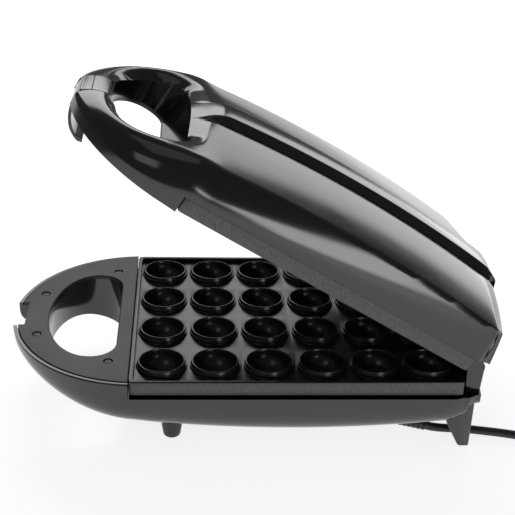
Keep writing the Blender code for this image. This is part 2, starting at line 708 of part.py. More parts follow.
def build_lid_shell(lid):
    shift = (0.0, -HINGE_Y, -HINGE_Z)
    shell = add_object("lid_shell", lid_solid(), BLACK_GLOSS, lid, shift)
    cuts, joins, bores = [], [], []

    tray = box((-120 * MM, HANDLE_STEP, -20 * MM), (120 * MM, 150 * MM, LID_SKIRT))
    cuts.append(cutter("cut_lid_tray", tray, lid, shift))
    rings = [lid_section(y * MM, WALL, 5 * MM) for y in (-104, -60, 0, 60, 100, 117)]
    cuts.append(cutter("cut_lid_cavity", loft(rings), lid, shift))
    hand_hole = loft([[(x, y, z * MM) for x, y in hole_outline(grow * MM)]
                      for z, grow in LID_HOLE_DRAFT])
    cuts.append(cutter("cut_lid_hand_hole", hand_hole, lid, shift))
    outline = cover_outline(LID_HALF - LID_COVER_RIM, LID_HANDLE_REACH - LID_COVER_RIM,
                            HANDLE_STEP - 2 * MM)
    recess = prism(outline, -10 * MM, LID_HANDLE_FLOOR + COVER_THICKNESS + GAP)
    cuts.append(cutter("cut_lid_cover_recess", recess, lid, shift))
    for side, name in ((-1, "left"), (1, "right")):
        pocket = handle_pocket(side, LID_HALF, LID_HANDLE_REACH, -5 * MM, 12 * MM)
        cuts.append(cutter("cut_lid_pocket_" + name, pocket, lid, shift))
    for index, (x, y) in enumerate(SCREW_PLACES):
        well = turned(((1.2 * MM, 0.0), (1.2 * MM, 12 * MM)), (x * MM, y * MM, 0.0), 8)
        cuts.append(cutter(f"cut_lid_screw_{index}", well, lid, shift))
    half = LATCH_HALF_WIDTH + GAP
    front, back = LATCH_TAB[1][0] * MM + 4 * MM, HOLE_CENTRE - HOLE_REACH + 5 * MM
    slot = [(-205 * MM, -5 * MM), (front, -5 * MM), (front, 5.8 * MM), (back, 5.8 * MM),
            (back, 40 * MM), (-205 * MM, 40 * MM)]
    cuts.append(cutter("cut_latch_slot", prism(slot, -half, half, 'x'), lid, shift))
    pin_bore = turned(((LATCH_PIN_RADIUS + GAP, -LATCH_HALF_WIDTH - 5 * MM),
                       (LATCH_PIN_RADIUS + GAP, LATCH_HALF_WIDTH + 5 * MM)),
                      (0.0, LATCH_PIVOT[0], LATCH_PIVOT[1]), 12, 'x')
    cuts.append(cutter("cut_latch_pin", pin_bore, lid, shift))
    cut_together(shell, cuts)

    for side, name in ((-1, "left"), (1, "right")):
        outer = side * (TOWER_INNER - GAP - 0.2 * MM)
        low, high = sorted((outer, outer - side * KNUCKLE_WIDTH))
        profile = arc((HINGE_Y, HINGE_Z), BARREL_RADIUS, 180, 360, 8)
        profile += [(HINGE_Y + BARREL_RADIUS, LID_SKIRT + 6 * MM),
                    (HINGE_Y - 4 * MM, LID_SKIRT + 6 * MM), (HINGE_Y - BARREL_RADIUS, LID_SKIRT)]
        joins.append(cutter("join_knuckle_" + name, prism(profile, low, high, 'x'), lid, shift))
        bore = turned(((PIN_RADIUS + GAP, -KNUCKLE_WIDTH), (PIN_RADIUS + GAP, KNUCKLE_WIDTH)),
                      ((low + high) / 2, HINGE_Y, HINGE_Z), 16, 'x')
        bores.append(cutter("cut_knuckle_" + name, bore, lid, shift))
    for join in joins:
        boolean(shell, join, 'UNION')
    for bore in bores:
        boolean(shell, bore)


# ---------------------------------------------------------------- latch

def latch_line():
    """Outer line of the latch in (y, z), from the hand hole over the tip and down the tab."""
    top = [(y * MM, lid_height(0.0, y * MM)) for y in LATCH_TOP]
    return top + [(y * MM, z * MM) for y, z in LATCH_TAB]


def offset_line(line, distance):
    """A copy of an open line, moved to its left side by distance."""
    moved = []
    for i, point in enumerate(line):
        before, after = line[max(0, i - 1)], line[min(len(line) - 1, i + 1)]
        dy, dz = after[0] - before[0], after[1] - before[1]
        size = math.hypot(dy, dz)
        moved.append((point[0] - dz / size * distance, point[1] + dy / size * distance))
    return moved


def latch_notch():
    """Room for the tab, cut out of the lower handle's tip."""
    inner = offset_line(latch_line(), LATCH_THICKNESS + 2 * GAP)[len(LATCH_TOP):]
    outside = [(HOLE_CENTRE - HOLE_REACH, -60 * MM), (-230 * MM, -60 * MM), (-230 * MM, 20 * MM),
               (inner[0][0], 20 * MM)]
    half = LATCH_HALF_WIDTH + 1.5 * MM
    return prism(inner + outside, -half, half, 'x')


def build_latch(lid):
    pivot_y, pivot_z = LATCH_PIVOT
    hub = empty("latch_axis", (0.0, pivot_y - HINGE_Y, pivot_z - HINGE_Z), lid)
    shift = (0.0, -pivot_y, -pivot_z)
    outer = latch_line()
    inner = offset_line(outer, LATCH_THICKNESS)
    hook = [(y * MM, z * MM) for y, z in LATCH_HOOK]
    profile = outer + hook + list(reversed(inner[:-1]))
    strip = prism(profile, -LATCH_HALF_WIDTH, LATCH_HALF_WIDTH, 'x')
    latch = add_object("latch", strip, BLACK_GLOSS, hub, shift)
    over = lid_height(0.0, pivot_y) - LATCH_THICKNESS / 2
    barrel = [(pivot_y - LATCH_BARREL, over)]
    barrel += arc((pivot_y, pivot_z), LATCH_BARREL, 180, 360, 8)
    barrel += [(pivot_y + LATCH_BARREL, over)]
    web = prism(barrel, -LATCH_HALF_WIDTH + 1 * MM, LATCH_HALF_WIDTH - 1 * MM, 'x')
    boolean(latch, cutter("join_latch_barrel", web, hub, shift), 'UNION')
    bore = turned(((LATCH_PIN_RADIUS + GAP, -20 * MM), (LATCH_PIN_RADIUS + GAP, 20 * MM)),
                  (0.0, pivot_y, pivot_z), 12, 'x')
    boolean(latch, cutter("cut_latch_bore", bore, hub, shift))
    pin = turned(((LATCH_PIN_RADIUS, -LATCH_HALF_WIDTH - 3 * MM),
                  (LATCH_PIN_RADIUS, LATCH_HALF_WIDTH + 3 * MM)), (0.0, pivot_y, pivot_z), 12, 'x')
    add_object("latch_pin", pin, STEEL, lid, (0.0, -HINGE_Y, -HINGE_Z))


# ---------------------------------------------------------------- everything else

def build_hinge_pins(root):
    for side, name in ((-1, "left"), (1, "right")):
        low, high = sorted((side * (TOWER_INNER - KNUCKLE_WIDTH), side * (TOWER_INNER + 16 * MM)))
        pin = turned(((PIN_RADIUS, low), (PIN_RADIUS, high)), (0.0, HINGE_Y, HINGE_Z), 16, 'x')
        add_object("hinge_pin_" + name, pin, STEEL, root)


def build_lid_cover(lid):
    shift = (0.0, -HINGE_Y, -HINGE_Z)
    low = LID_HANDLE_FLOOR
    rim = LID_COVER_RIM + 0.4 * MM
    outline = cover_outline(LID_HALF - rim, LID_HANDLE_REACH - rim, HANDLE_STEP - 2.4 * MM)
    cover = add_object("lid_handle_cover", prism(outline, low, low + COVER_THICKNESS),
                       BLACK_SATIN, lid, shift)
    hand_hole = prism(hole_outline(LID_HOLE_DRAFT[0][1] * MM), -20 * MM, 30 * MM)
    boolean(cover, cutter("cut_lid_cover_hole", hand_hole, lid, shift))
    for index, (x, y) in enumerate(SCREW_PLACES):
        seat = turned(((3.1 * MM, -1 * MM), (3.1 * MM, 1.5 * MM), (1.4 * MM, 1.5 * MM),
                       (1.4 * MM, 4 * MM)), (x * MM, y * MM, low), 10)
        boolean(cover, cutter(f"cut_lid_cover_seat_{index}", seat, lid, shift))
        screw(f"lid_cover_screw_{index + 1}", (x * MM, y * MM), low + 0.3 * MM, lid, shift,
              up=-1, spec=BLACK_SATIN, length=6.5 * MM)


def heater_path(z):
    """Long U between the cup columns, rods ending near the hinge."""
    x = PITCH_ACROSS
    turn = 20 * MM
    points = [(-x, ROD_REACH, z), (-x, 0.0, z)]
    points += [(-x + turn - turn * math.cos(math.radians(a)), -ROD_TURN + turn
                - turn * math.sin(math.radians(a)), z) for a in (0, 30, 60, 90)]
    points += [(x - turn + turn * math.sin(math.radians(a)), -ROD_TURN + turn
                - turn * math.cos(math.radians(a)), z) for a in (0, 30, 60, 90)]
    points += [(x, 0.0, z), (x, ROD_REACH, z)]
    return points


def reflector_tray(z, lip, screws, parent, shift, name):
    """Shallow folded sheet tray behind a heating rod."""
    hx, hy = REFLECTOR_HALF
    outer = box((-hx, -hy, min(z, z + lip)), (hx, hy, max(z, z + lip)))
    tray = add_object(name, outer, SHEET_METAL, parent, shift)
    up = 1 if lip > 0 else -1
    inner_low, inner_high = sorted((z + up * SHEET, z + lip + up * 5 * MM))
    inner = box((-hx + SHEET, -hy + SHEET, inner_low), (hx - SHEET, hy - SHEET, inner_high))
    boolean(tray, cutter("cut_" + name, inner, parent, shift))
    for index, y in enumerate(screws):
        hole = turned(((PLATE_SCREW_RADIUS + GAP, -4 * MM), (PLATE_SCREW_RADIUS + GAP, 4 * MM)),
                      (0.0, y, z), 10)
        boolean(tray, cutter(f"cut_{name}_{index}", hole, parent, shift))
    return tray


def build_heating(root, lid):
    zero = (0.0, 0.0, 0.0)
    shift = (0.0, -HINGE_Y, -HINGE_Z)
    rod_z = PLATE_BASE_DROP + GAP + ROD_RADIUS
    tube("lower_heating_element", heater_path(-rod_z), ROD_RADIUS, ELEMENT, root)
    upper = [(x, y - HINGE_Y, z - HINGE_Z) for x, y, z in heater_path(rod_z)]
    tube("upper_heating_element", upper, ROD_RADIUS, ELEMENT, lid)
    screws = (-PLATE_SCREW_Y, PLATE_SCREW_Y)
    reflector_tray(-REFLECTOR_DROP, 5 * MM, screws, root, zero, "lower_reflector")
    reflector_tray(REFLECTOR_DROP, -5 * MM, screws, lid, shift, "upper_reflector")
    for index, y in enumerate(screws):
        for name, up, parent, move in (("lower", -1, root, zero), ("upper", 1, lid, shift)):
            far = up * (REFLECTOR_DROP + GAP + 2 * MM)
            near = up * (PLATE_BASE_DROP + GAP)
            head = far - up * 2 * MM
            profile = [(PLATE_SCREW_RADIUS, near), (PLATE_SCREW_RADIUS, head),
                       (PLATE_SCREW_RADIUS * 1.9, head), (PLATE_SCREW_RADIUS * 1.9, far)]
            add_object(f"{name}_plate_screw_{index + 1}", turned(profile, (0.0, y, 0.0), 10),
                       STEEL, parent, move)

    top = -REFLECTOR_DROP - GAP
    body = turned(((7.5 * MM, -7 * MM), (7.5 * MM, -1.2 * MM), (9.5 * MM, -1.2 * MM),
                   (9.5 * MM, 0.0)), (0.0, 0.0, top), 16)
    add_object("thermostat", body, CERAMIC, root)
    low = REFLECTOR_DROP + GAP
    fuse = turned(((1.4 * MM, -9 * MM), (2.4 * MM, -7.5 * MM), (2.4 * MM, 7.5 * MM),
                   (1.4 * MM, 9 * MM)), (0.0, 0.0, low + 2.4 * MM), 12, 'x')
    add_object("thermal_fuse", fuse, CERAMIC, lid, shift)
    block_z = -REFLECTOR_DROP - 6.5 * MM
    block = box((20 * MM, 76 * MM, block_z - 4 * MM), (46 * MM, 90 * MM, block_z + 5 * MM))
    add_object("terminal_block", block, CERAMIC, root)
    for index, (x, rod_x) in enumerate(((26 * MM, -PITCH_ACROSS), (40 * MM, PITCH_ACROSS))):
        route = catmull([(x, 91.2 * MM, block_z), (x, 94 * MM, block_z),
                         ((x + rod_x) / 2, 103 * MM, block_z + 3 * MM),
                         (rod_x, 106 * MM, -rod_z - 6 * MM),
                         (rod_x, ROD_REACH + 5 * MM, -rod_z),
                         (rod_x, ROD_REACH + GAP, -rod_z)], 3)
        tube(("neutral_wire", "live_wire")[index], route, 1.2 * MM, CORD_SKIN, root)


def build_feet(root):
    trim = cutter("cut_feet", base_solid(GAP), root)
    for side, name in ((-1, "left"), (1, "right")):
        x, y = side * FOOT_PLACE[0], FOOT_PLACE[1]
        profile = ((FOOT_RADII[1] - 1 * MM, 0.0), (FOOT_RADII[1], 1 * MM),
                   (FOOT_RADII[0], RIM_HEIGHT - 40 * MM), (FOOT_RADII[0], RIM_HEIGHT - 32 * MM))
        foot = add_object("front_foot_" + name, turned(profile, (x, y, -RIM_HEIGHT), 16),
                          RUBBER, root)
        boolean(foot, trim)
        low = side * LEG_CENTRE - LEG_WIDTH / 2
        points = [(a * MM, b * MM) for a, b in LEG_FRONT]
        points += [(a * MM, -RIM_HEIGHT) for a in LEG_FOOT]
        points.append((LEG_REAR[0] * MM, LEG_REAR[1] * MM))
        leg = add_object("rear_leg_" + name, prism(points, low, low + LEG_WIDTH, 'x'),
                         BLACK_GLOSS, root)
        boolean(leg, trim)


def build_sticker(lid):
    """Plain, blank care sticker near the hinge on the lid's shoulder."""
    low_x, high_x, low_y, high_y = 32 * MM, 64 * MM, 79 * MM, 106 * MM
    bm = bmesh.new()
    lift, thick = 0.35 * MM, 0.25 * MM
    grid = []
    for i in range(4):
        row = []
        for j in range(5):
            x = low_x + (high_x - low_x) * i / 3
            y = low_y + (high_y - low_y) * j / 4
            row.append((x, y, body_height(x, y) + lift))
        grid.append(row)
    top = [[bm.verts.new((x, y, z + thick)) for x, y, z in row] for row in grid]
    bottom = [[bm.verts.new(point) for point in row] for row in grid]
    for i in range(3):
        for j in range(4):
            bm.faces.new((top[i][j], top[i + 1][j], top[i + 1][j + 1], top[i][j + 1]))
            bm.faces.new((bottom[i][j], bottom[i][j + 1], bottom[i + 1][j + 1], bottom[i + 1][j]))
    edge = [(i, 0) for i in range(4)] + [(3, j) for j in range(1, 5)]
    edge += [(i, 4) for i in (2, 1, 0)] + [(0, j) for j in (3, 2, 1)]
    for (a, b), (c, d) in zip(edge, edge[1:] + edge[:1]):
        bm.faces.new((top[a][b], top[c][d], bottom[c][d], bottom[a][b]))
    add_object("lid_sticker", bm, PAPER, lid, (0.0, -HINGE_Y, -HINGE_Z))


# ---------------------------------------------------------------- cord

CORD_ROUTE = (                  # x, y and height above the line where the cord lies on the table
    (66.0, 93.4, 1.6), (66.1, 96.0, 0.9), (66.4, 99.5, 0.3), (67.2, 106.0, 0.0),
    (68.2, 118.0, 0.0), (69.6, 127.0, 0.0), (71.4, 136.0, 0.0), (73.4, 145.0, 0.0),
    (75.8, 154.0, 0.0), (78.6, 163.0, 0.0), (80.6, 172.0, 0.0), (81.2, 181.0, 0.0),
    (80.4, 190.0, 0.0), (78.2, 197.5, 0.0))
TAIL_ROUTE = (
    (40.0, 243.6, 0.0), (34.0, 243.8, 0.1), (28.0, 243.9, 0.7), (22.0, 243.9, 2.0),
    (16.0, 243.9, 3.7), (10.0, 243.9, 5.0), (6.0, 243.9, 5.4), (4.3, 243.9, 5.4))
COIL_CENTRE = (42.6, 207.0)
COIL_RADII = (33.0, 20.0)
COIL_LIFT = 1.4
COIL_TOP = 14.0
TIE_WIDTH = 5.0
TIE_THICKNESS = 0.8
PLUG_SECTIONS = ((4.0, 4.3, 4.2), (-5.0, 5.4, 5.0), (-7.0, 8.6, 6.4), (-10.5, 11.6, 8.1),
                 (-24.0, 12.4, 8.3), (-28.5, 11.8, 7.9), (-30.0, 10.6, 6.9))
BLADE_SPACING = 12.7
BLADE_SIZE = (16.0, 1.5, 6.35)


def laid_point(point):
    """A cord route's point in the plate frame."""
    x, y, rise = point
    return (x * MM, y * MM, -RIM_HEIGHT + CORD_RADIUS + 0.1 * MM + rise * MM)


def ring_band(centre, inner, outer, low, high, sides=24):
    """Square-section ring lying flat."""
    bm = bmesh.new()
    rings = []
    for radius, z in ((inner, low), (outer, low), (outer, high), (inner, high)):
        rings.append([bm.verts.new((centre[0] + radius * math.cos(2 * math.pi * i / sides),
                                    centre[1] + radius * math.sin(2 * math.pi * i / sides), z))
                      for i in range(sides)])
    for first, second in zip(rings, rings[1:] + rings[:1]):
        for i in range(sides):
            j = (i + 1) % sides
            bm.faces.new((first[i], first[j], second[j], second[i]))
    return bm


def build_coil(root):
    """The wound-up length, held by a tie on its far side."""
    centre = [v * MM for v in COIL_CENTRE]
    outer, inner = (v * MM for v in COIL_RADII)
    low, high = -RIM_HEIGHT + COIL_LIFT * MM, -RIM_HEIGHT + COIL_TOP * MM
    add_object("cord_coil", ring_band(centre, inner, outer, low, high), CORD_SKIN, root)
    middle = (outer + inner) / 2
    thick = TIE_THICKNESS * MM
    space = [(outer - inner) / 2 + 2 * GAP, (high - low) / 2 + GAP]
    bm = bmesh.new()
    loops = []
    for grow, side in ((0.0, -1), (thick, -1), (thick, 1), (0.0, 1)):
        loop = []
        for sy, sz in ((-1, -1), (1, -1), (1, 1), (-1, 1)):
            loop.append(bm.verts.new((centre[0] + side * TIE_WIDTH / 2 * MM,
                                      centre[1] + middle * -1 + sy * (space[0] + grow),
                                      (low + high) / 2 + sz * (space[1] + grow))))
        loops.append(loop)
    for first, second in zip(loops, loops[1:] + loops[:1]):
        for i in range(4):
            j = (i + 1) % 4
            bm.faces.new((first[i], first[j], second[j], second[i]))
    add_object("cord_tie", bm, CORD_SKIN, root)


def build_plug(root):
    """Flat two-blade plug lying beside the coil, blades towards -X."""
    _, y, z = laid_point(TAIL_ROUTE[-1])
    sections = []
    for x, half_y, half_z in PLUG_SECTIONS:
        corner = min(half_y, half_z) * 0.55
        outline = rounded_rectangle(half_y * MM, half_z * MM, corner * MM, 2)
        sections.append([(x * MM, y + a, z + b) for a, b in outline])
    add_object("plug_body", loft(sections), CORD_SKIN, root)
    end = PLUG_SECTIONS[-1][0] * MM - GAP
    length, thick, tall = (v * MM for v in BLADE_SIZE)
    for side, name in ((-1, "left"), (1, "right")):
        middle = y + side * BLADE_SPACING / 2 * MM
        blade = box((end - length, middle - thick / 2, z - tall / 2),
                    (end, middle + thick / 2, z + tall / 2))
        add_object("plug_blade_" + name, blade, BRASS, root)


def build_gland(root):
    """Tapered strain relief that slopes out of the base's underside."""
    x, y, z = GLAND_START
    start, end = GLAND_RADII
    bm = turned(((start, 0.0), (start, GLAND_LENGTH * 0.35), (end, GLAND_LENGTH)), (0.0, 0.0, 0.0),
                14, 'y')
    turn = Matrix.Translation((x, y, z)) @ Matrix.Rotation(-GLAND_SLOPE, 4, 'X')
    bmesh.ops.transform(bm, matrix=turn, verts=bm.verts)
    gland = add_object("strain_relief", bm, CORD_SKIN, root)
    boolean(gland, cutter("cut_gland", base_solid(GAP), root))


def build_cord(root):
    build_gland(root)
    for name, route in (("power_cord", CORD_ROUTE), ("cord_tail", TAIL_ROUTE)):
        points = catmull([laid_point(point) for point in route], 2)
        tube(name, points, CORD_RADIUS, CORD_SKIN, root, 2)
    build_coil(root)
    build_plug(root)


def main():
    clear_scene()
    root = empty("frame", (0.0, ORIGIN_Y, RIM_HEIGHT))
    lid = empty("lid_axis", (0.0, HINGE_Y, HINGE_Z), root, -OPEN_ANGLE)
    build_plates(root, lid)
    notch = build_base_shell(root)
    build_base_cover(root, notch)
    build_lid_shell(lid)
    build_lid_cover(lid)
    build_latch(lid)
    build_hinge_pins(root)
    build_heating(root, lid)
    build_feet(root)
    build_sticker(lid)
    build_cord(root)


main()
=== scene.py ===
"""Looks of the hinged cup baker: smooth housings, coated plates, cord, finishes, light and camera."""
import math

import bmesh
import bpy
from mathutils import Matrix, Quaternion, Vector


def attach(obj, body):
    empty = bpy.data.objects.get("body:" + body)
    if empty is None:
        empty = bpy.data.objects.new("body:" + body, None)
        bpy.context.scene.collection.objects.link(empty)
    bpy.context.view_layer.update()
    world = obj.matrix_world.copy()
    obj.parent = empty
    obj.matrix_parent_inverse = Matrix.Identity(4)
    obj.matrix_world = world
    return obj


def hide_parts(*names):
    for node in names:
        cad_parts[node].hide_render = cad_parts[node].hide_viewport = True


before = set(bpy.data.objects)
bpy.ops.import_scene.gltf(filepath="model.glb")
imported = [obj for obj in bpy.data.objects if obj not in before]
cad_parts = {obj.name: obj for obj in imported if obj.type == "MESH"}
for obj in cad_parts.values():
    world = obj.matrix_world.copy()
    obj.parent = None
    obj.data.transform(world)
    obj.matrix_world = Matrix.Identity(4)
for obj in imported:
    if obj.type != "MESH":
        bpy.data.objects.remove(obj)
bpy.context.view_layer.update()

MM = 0.001
TABLE_HEIGHT = -58.5            # the table in the plate's own frame, in millimetres
ORIGIN = Vector((0.0, 24.0, 58.5)) * MM
HINGE = Vector((0.0, 118.7, 5.0))
OPEN_ANGLE = math.radians(30.9)
PLACED = Matrix.Translation(ORIGIN) @ Matrix.Scale(MM, 4)
OPENED = (PLACED @ Matrix.Translation(HINGE) @ Matrix.Rotation(-OPEN_ANGLE, 4, 'X')
          @ Matrix.Translation(-HINGE))

# Shapes, in millimetres in the plate's frame: x across, -y to the handles, z = 0 on the cups' rims
PITCH_ALONG, PITCH_ACROSS = 36.0, 44.8
CUPS_ALONG, CUPS_ACROSS = 6, 4
GRID_X, GRID_Y = CUPS_ACROSS * PITCH_ACROSS / 2, CUPS_ALONG * PITCH_ALONG / 2
BORDER = 3.0
BASE_HALF = GRID_X + BORDER + 2.4
LID_HALF = GRID_X + BORDER + 1.3
HANDLE_START, HANDLE_STEP = -107.0, -111.6
BASE_REACH, LID_REACH = 89.5, 86.0
CORNER_START, CORNER_END, CORNER_TAPER = 110.0, 123.5, 6.0
REAR_BULGE = 5.5
REAR_TIP = CORNER_END + REAR_BULGE
TRAY_DROP, LEDGE_DROP, TUB_REAR = 13.8, 25.0, 115.0
TOP_DROP, BELLY_DROP, BELLY_RADIUS, TIP_DEPTH = 2.6, 50.5, 735.0, 12.0
COVER_THICK = 2.4
SKIRT = 12.6
SIDE_LOW = 11.4
HOLE_HALF, HOLE_CENTRE, HOLE_REACH, HOLE_BACK, HOLE_CORNER = 59.0, -139.0, 32.5, 17.5, 17.0
HOLE_DRAFT = ((-20.0, -3.5), (4.0, -3.5), (30.0, 1.5), (80.0, 1.5))
CREASE_HALF, CREASE_TAPER, CREASE_HEIGHT = 86.6, 0.03, 41.4
SHOULDER_RISE = 7.4
PANEL_HALF, PANEL_EDGE, PANEL_STEP, PANEL_FRONT = 12.5, 3.5, 4.4, -118.0
HANDLE_WAIST, HANDLE_CREST, HANDLE_FALL, HANDLE_ROOT = 8.0, 38.3, 0.262, -105.0
HANDLE_ROUND, HOLE_ROUND = 17.0, 12.0
HOLE_SIDE_DROP, HOLE_END_DROP = 8.0, 1.0
BLEND_START, BLEND_LENGTH = -96.0, 28.0
TOWER_INNER, TOWER_OUTER, BARREL = 62.0, 85.5, 6.0
KNUCKLE = 20.0
SCREWS = ((29.6, -177.2), (65.7, -125.7), (-29.6, -177.2), (-65.7, -125.7))
LATCH_HALF, LATCH_THICK = 15.0, 2.2
LATCH_PIVOT = (-181.0, 11.0)
LATCH_TOP = (-172.6, -174.5, -177.0, -179.5, -182.0, -184.5, -186.5, -188.3, -189.6, -190.5)
LATCH_TAB = ((-191.3, 8.5), (-191.5, 4.5), (-190.7, -1.0), (-188.2, -7.8), (-184.5, -13.4),
             (-180.2, -17.0), (-175.6, -19.3))
LATCH_HOOK = ((-171.9, -18.6), (-172.6, -16.6))


# ---------------------------------------------------------------- shader building

class Tone:
    """A shader socket that takes part in arithmetic."""

    def __init__(self, finish, socket):
        self.finish, self.socket = finish, socket

    def maths(self, kind, first, second):
        return self.finish.node('ShaderNodeMath', {'operation': kind}, {0: first, 1: second})

    def __add__(self, other):
        return self.maths('ADD', self, other)

    def __sub__(self, other):
        return self.maths('SUBTRACT', self, other)

    def __rsub__(self, other):
        return self.maths('SUBTRACT', other, self)

    def __mul__(self, other):
        return self.maths('MULTIPLY', self, other)

    __radd__, __rmul__ = __add__, __mul__


class Finish:
    """One material on a Principled shader, with its textures in the object's own coordinates."""

    def __init__(self, name, colour, roughness, metallic=0.0, **constants):
        self.made = bpy.data.materials.new(name)
        self.made.use_nodes = True
        self.tree = self.made.node_tree
        self.shader = self.tree.nodes["Principled BSDF"]
        self.place = self.node('ShaderNodeTexCoord', {}, {}, 'Object')
        self.set("Base Color", (*colour, 1.0))
        self.set("Roughness", roughness)
        self.set("Metallic", metallic)
        for socket, value in constants.items():
            self.set(socket.replace("_", " "), value)

    def node(self, kind, settings, values, out=0):
        made = self.tree.nodes.new(kind)
        for key, value in settings.items():
            if key == 'stops':
                ramp = made.color_ramp
                for place, tone in value[2:]:
                    ramp.elements.new(place)
                for stop, (place, tone) in zip(ramp.elements, value):
                    stop.position = place
                for stop, (place, tone) in zip(ramp.elements, value):
                    stop.color = (tone, tone, tone, 1.0)
            else:
                setattr(made, key, value)
        for key, value in values.items():
            if isinstance(value, Tone):
                self.tree.links.new(value.socket, made.inputs[key])
            else:
                made.inputs[key].default_value = value
        return Tone(self, made.outputs[out])

    def set(self, socket, value):
        if isinstance(value, Tone):
            self.tree.links.new(value.socket, self.shader.inputs[socket])
        else:
            self.shader.inputs[socket].default_value = value

    def noise(self, scale, detail=2.0, rough=0.5, place=None):
        return self.node('ShaderNodeTexNoise', {},
                         {'Vector': place or self.place, 'Scale': scale, 'Detail': detail,
                          'Roughness': rough})

    def ramp(self, value, *stops):
        return self.node('ShaderNodeValToRGB', {'stops': stops}, {0: value})

    def blend(self, share, first, second):
        return self.node('ShaderNodeMix', {'data_type': 'RGBA'},
                         {0: share, 6: (*first, 1.0), 7: (*second, 1.0)}, 2)

    def stretched(self, scale, turn=(0.0, 0.0, 0.0)):
        return self.node('ShaderNodeMapping', {}, {'Vector': self.place, 'Scale': scale,
                                                   'Rotation': turn})

    def relief(self, height, strength, depth_mm):
        normal = self.node('ShaderNodeBump', {}, {'Height': height, 'Strength': strength,
                                                  'Distance': depth_mm * MM})
        self.set("Normal", normal)


def gloss_black():
    """Polished black housing: faint waviness of moulded plastic, dust and wiped streaks."""
    f = Finish("gloss_black", (0.006, 0.006, 0.0065), 0.12, Specular_IOR_Level=0.85)
    wiped = f.noise(1.0, 3.0, 0.55, f.stretched((60.0, 9.0, 40.0)))
    dust = f.ramp(f.noise(900.0, 1.0), (0.0, 0.0), (0.70, 0.0), (0.78, 1.0))
    f.set("Roughness", 0.085 + wiped * 0.09 + dust * 0.05)
    f.set("Base Color", f.blend(dust * 0.25, (0.006, 0.006, 0.0065), (0.030, 0.030, 0.031)))
    f.relief(f.noise(55.0, 1.0) + f.noise(700.0, 2.0) * 0.05, 0.10, 0.15)
    return f.made


def satin_black():
    """Spark-eroded satin plastic of the handle covers."""
    f = Finish("satin_black", (0.022, 0.022, 0.024), 0.40)
    grain = f.noise(2600.0, 2.0, 0.6)
    patch = f.noise(26.0, 2.0)
    f.set("Roughness", 0.33 + patch * 0.10 + grain * 0.06)
    f.set("Base Color", f.blend(grain, (0.020, 0.020, 0.022), (0.034, 0.034, 0.037)))
    f.relief(grain, 0.35, 0.05)
    return f.made


def coated_cast():
    """Non-stick coating on cast aluminium: tiny speckle, slight unevenness."""
    f = Finish("coated_cast", (0.016, 0.016, 0.017), 0.24)
    speck = f.ramp(f.noise(2400.0, 2.0, 0.65), (0.0, 0.0), (0.62, 0.0), (0.72, 1.0))
    uneven = f.noise(70.0, 3.0)
    f.set("Roughness", 0.17 + uneven * 0.13 + speck * 0.08)
    f.set("Base Color", f.blend(speck * 0.6 + uneven * 0.3, (0.011, 0.011, 0.012),
                                (0.045, 0.045, 0.048)))
    f.relief(f.noise(380.0, 3.0) + speck * 0.25, 0.16, 0.12)
    return f.made


def cast_wall():
    """Bare side wall of a plate, with the fine slanting marks of machining."""
    f = Finish("cast_wall", (0.075, 0.075, 0.08), 0.45, 0.55)
    marks = f.noise(1.0, 2.0, 0.6, f.stretched((300.0, 1300.0, 260.0), (math.radians(38), 0.0, 0.0)))
    pits = f.noise(1300.0, 3.0, 0.6)
    f.set("Base Color", f.blend(marks * 0.7 + pits * 0.3, (0.018, 0.018, 0.020), (0.17, 0.17, 0.18)))
    f.set("Roughness", 0.34 + pits * 0.24)
    f.relief(marks + pits * 0.5, 0.7, 0.25)
    return f.made


def plain_rubber():
    f = Finish("foot_rubber", (0.018, 0.018, 0.018), 0.6)
    grain = f.noise(1500.0, 3.0, 0.6)
    f.set("Roughness", 0.48 + grain * 0.2)
    f.set("Base Color", f.blend(grain, (0.012, 0.012, 0.012), (0.030, 0.030, 0.031)))
    f.relief(grain, 0.4, 0.08)
    return f.made


def cord_skin():
    """Flexible sheath: satin, with faint rings from its extrusion and a little dust."""
    f = Finish("cord_skin", (0.016, 0.016, 0.017), 0.42)
    rings = f.noise(450.0, 2.0, 0.5)
    dust = f.noise(40.0, 3.0)
    f.set("Roughness", 0.34 + rings * 0.12 + dust * 0.08)
    f.set("Base Color", f.blend(dust, (0.011, 0.011, 0.012), (0.026, 0.026, 0.028)))
    f.relief(rings, 0.2, 0.06)
    return f.made


def metal(name, low, high, roughness, brushed=(900.0, 900.0, 900.0)):
    """Worn metal between two tones, brushed along the axis with the smallest scale."""
    f = Finish(name, low, roughness, 1.0)
    lines = f.noise(1.0, 3.0, 0.6, f.stretched(brushed))
    f.set("Base Color", f.blend(lines, low, high))
    f.set("Roughness", roughness - 0.08 + lines * 0.2)
    f.relief(lines, 0.2, 0.04)
    return f.made


def ceramic():
    f = Finish("ceramic_body", (0.80, 0.78, 0.72), 0.6)
    grain = f.noise(800.0, 4.0, 0.6)
    f.set("Base Color", f.blend(grain, (0.72, 0.70, 0.63), (0.86, 0.84, 0.79)))
    f.set("Roughness", 0.5 + grain * 0.2)
    f.relief(grain, 0.3, 0.06)
    return f.made


def label_paper():
    """Blank pale label with soft fibre tone."""
    f = Finish("label_paper", (0.80, 0.79, 0.77), 0.5)
    fibre = f.noise(1.0, 4.0, 0.6, f.stretched((1500.0, 600.0, 1500.0)))
    f.set("Base Color", f.blend(fibre, (0.76, 0.75, 0.73), (0.86, 0.85, 0.83)))
    f.set("Roughness", 0.42 + fibre * 0.14)
    f.relief(fibre, 0.15, 0.03)
    return f.made


# ---------------------------------------------------------------- mesh building

def smooth(value):
    value = min(1.0, max(0.0, value))
    return value * value * (3 - 2 * value)


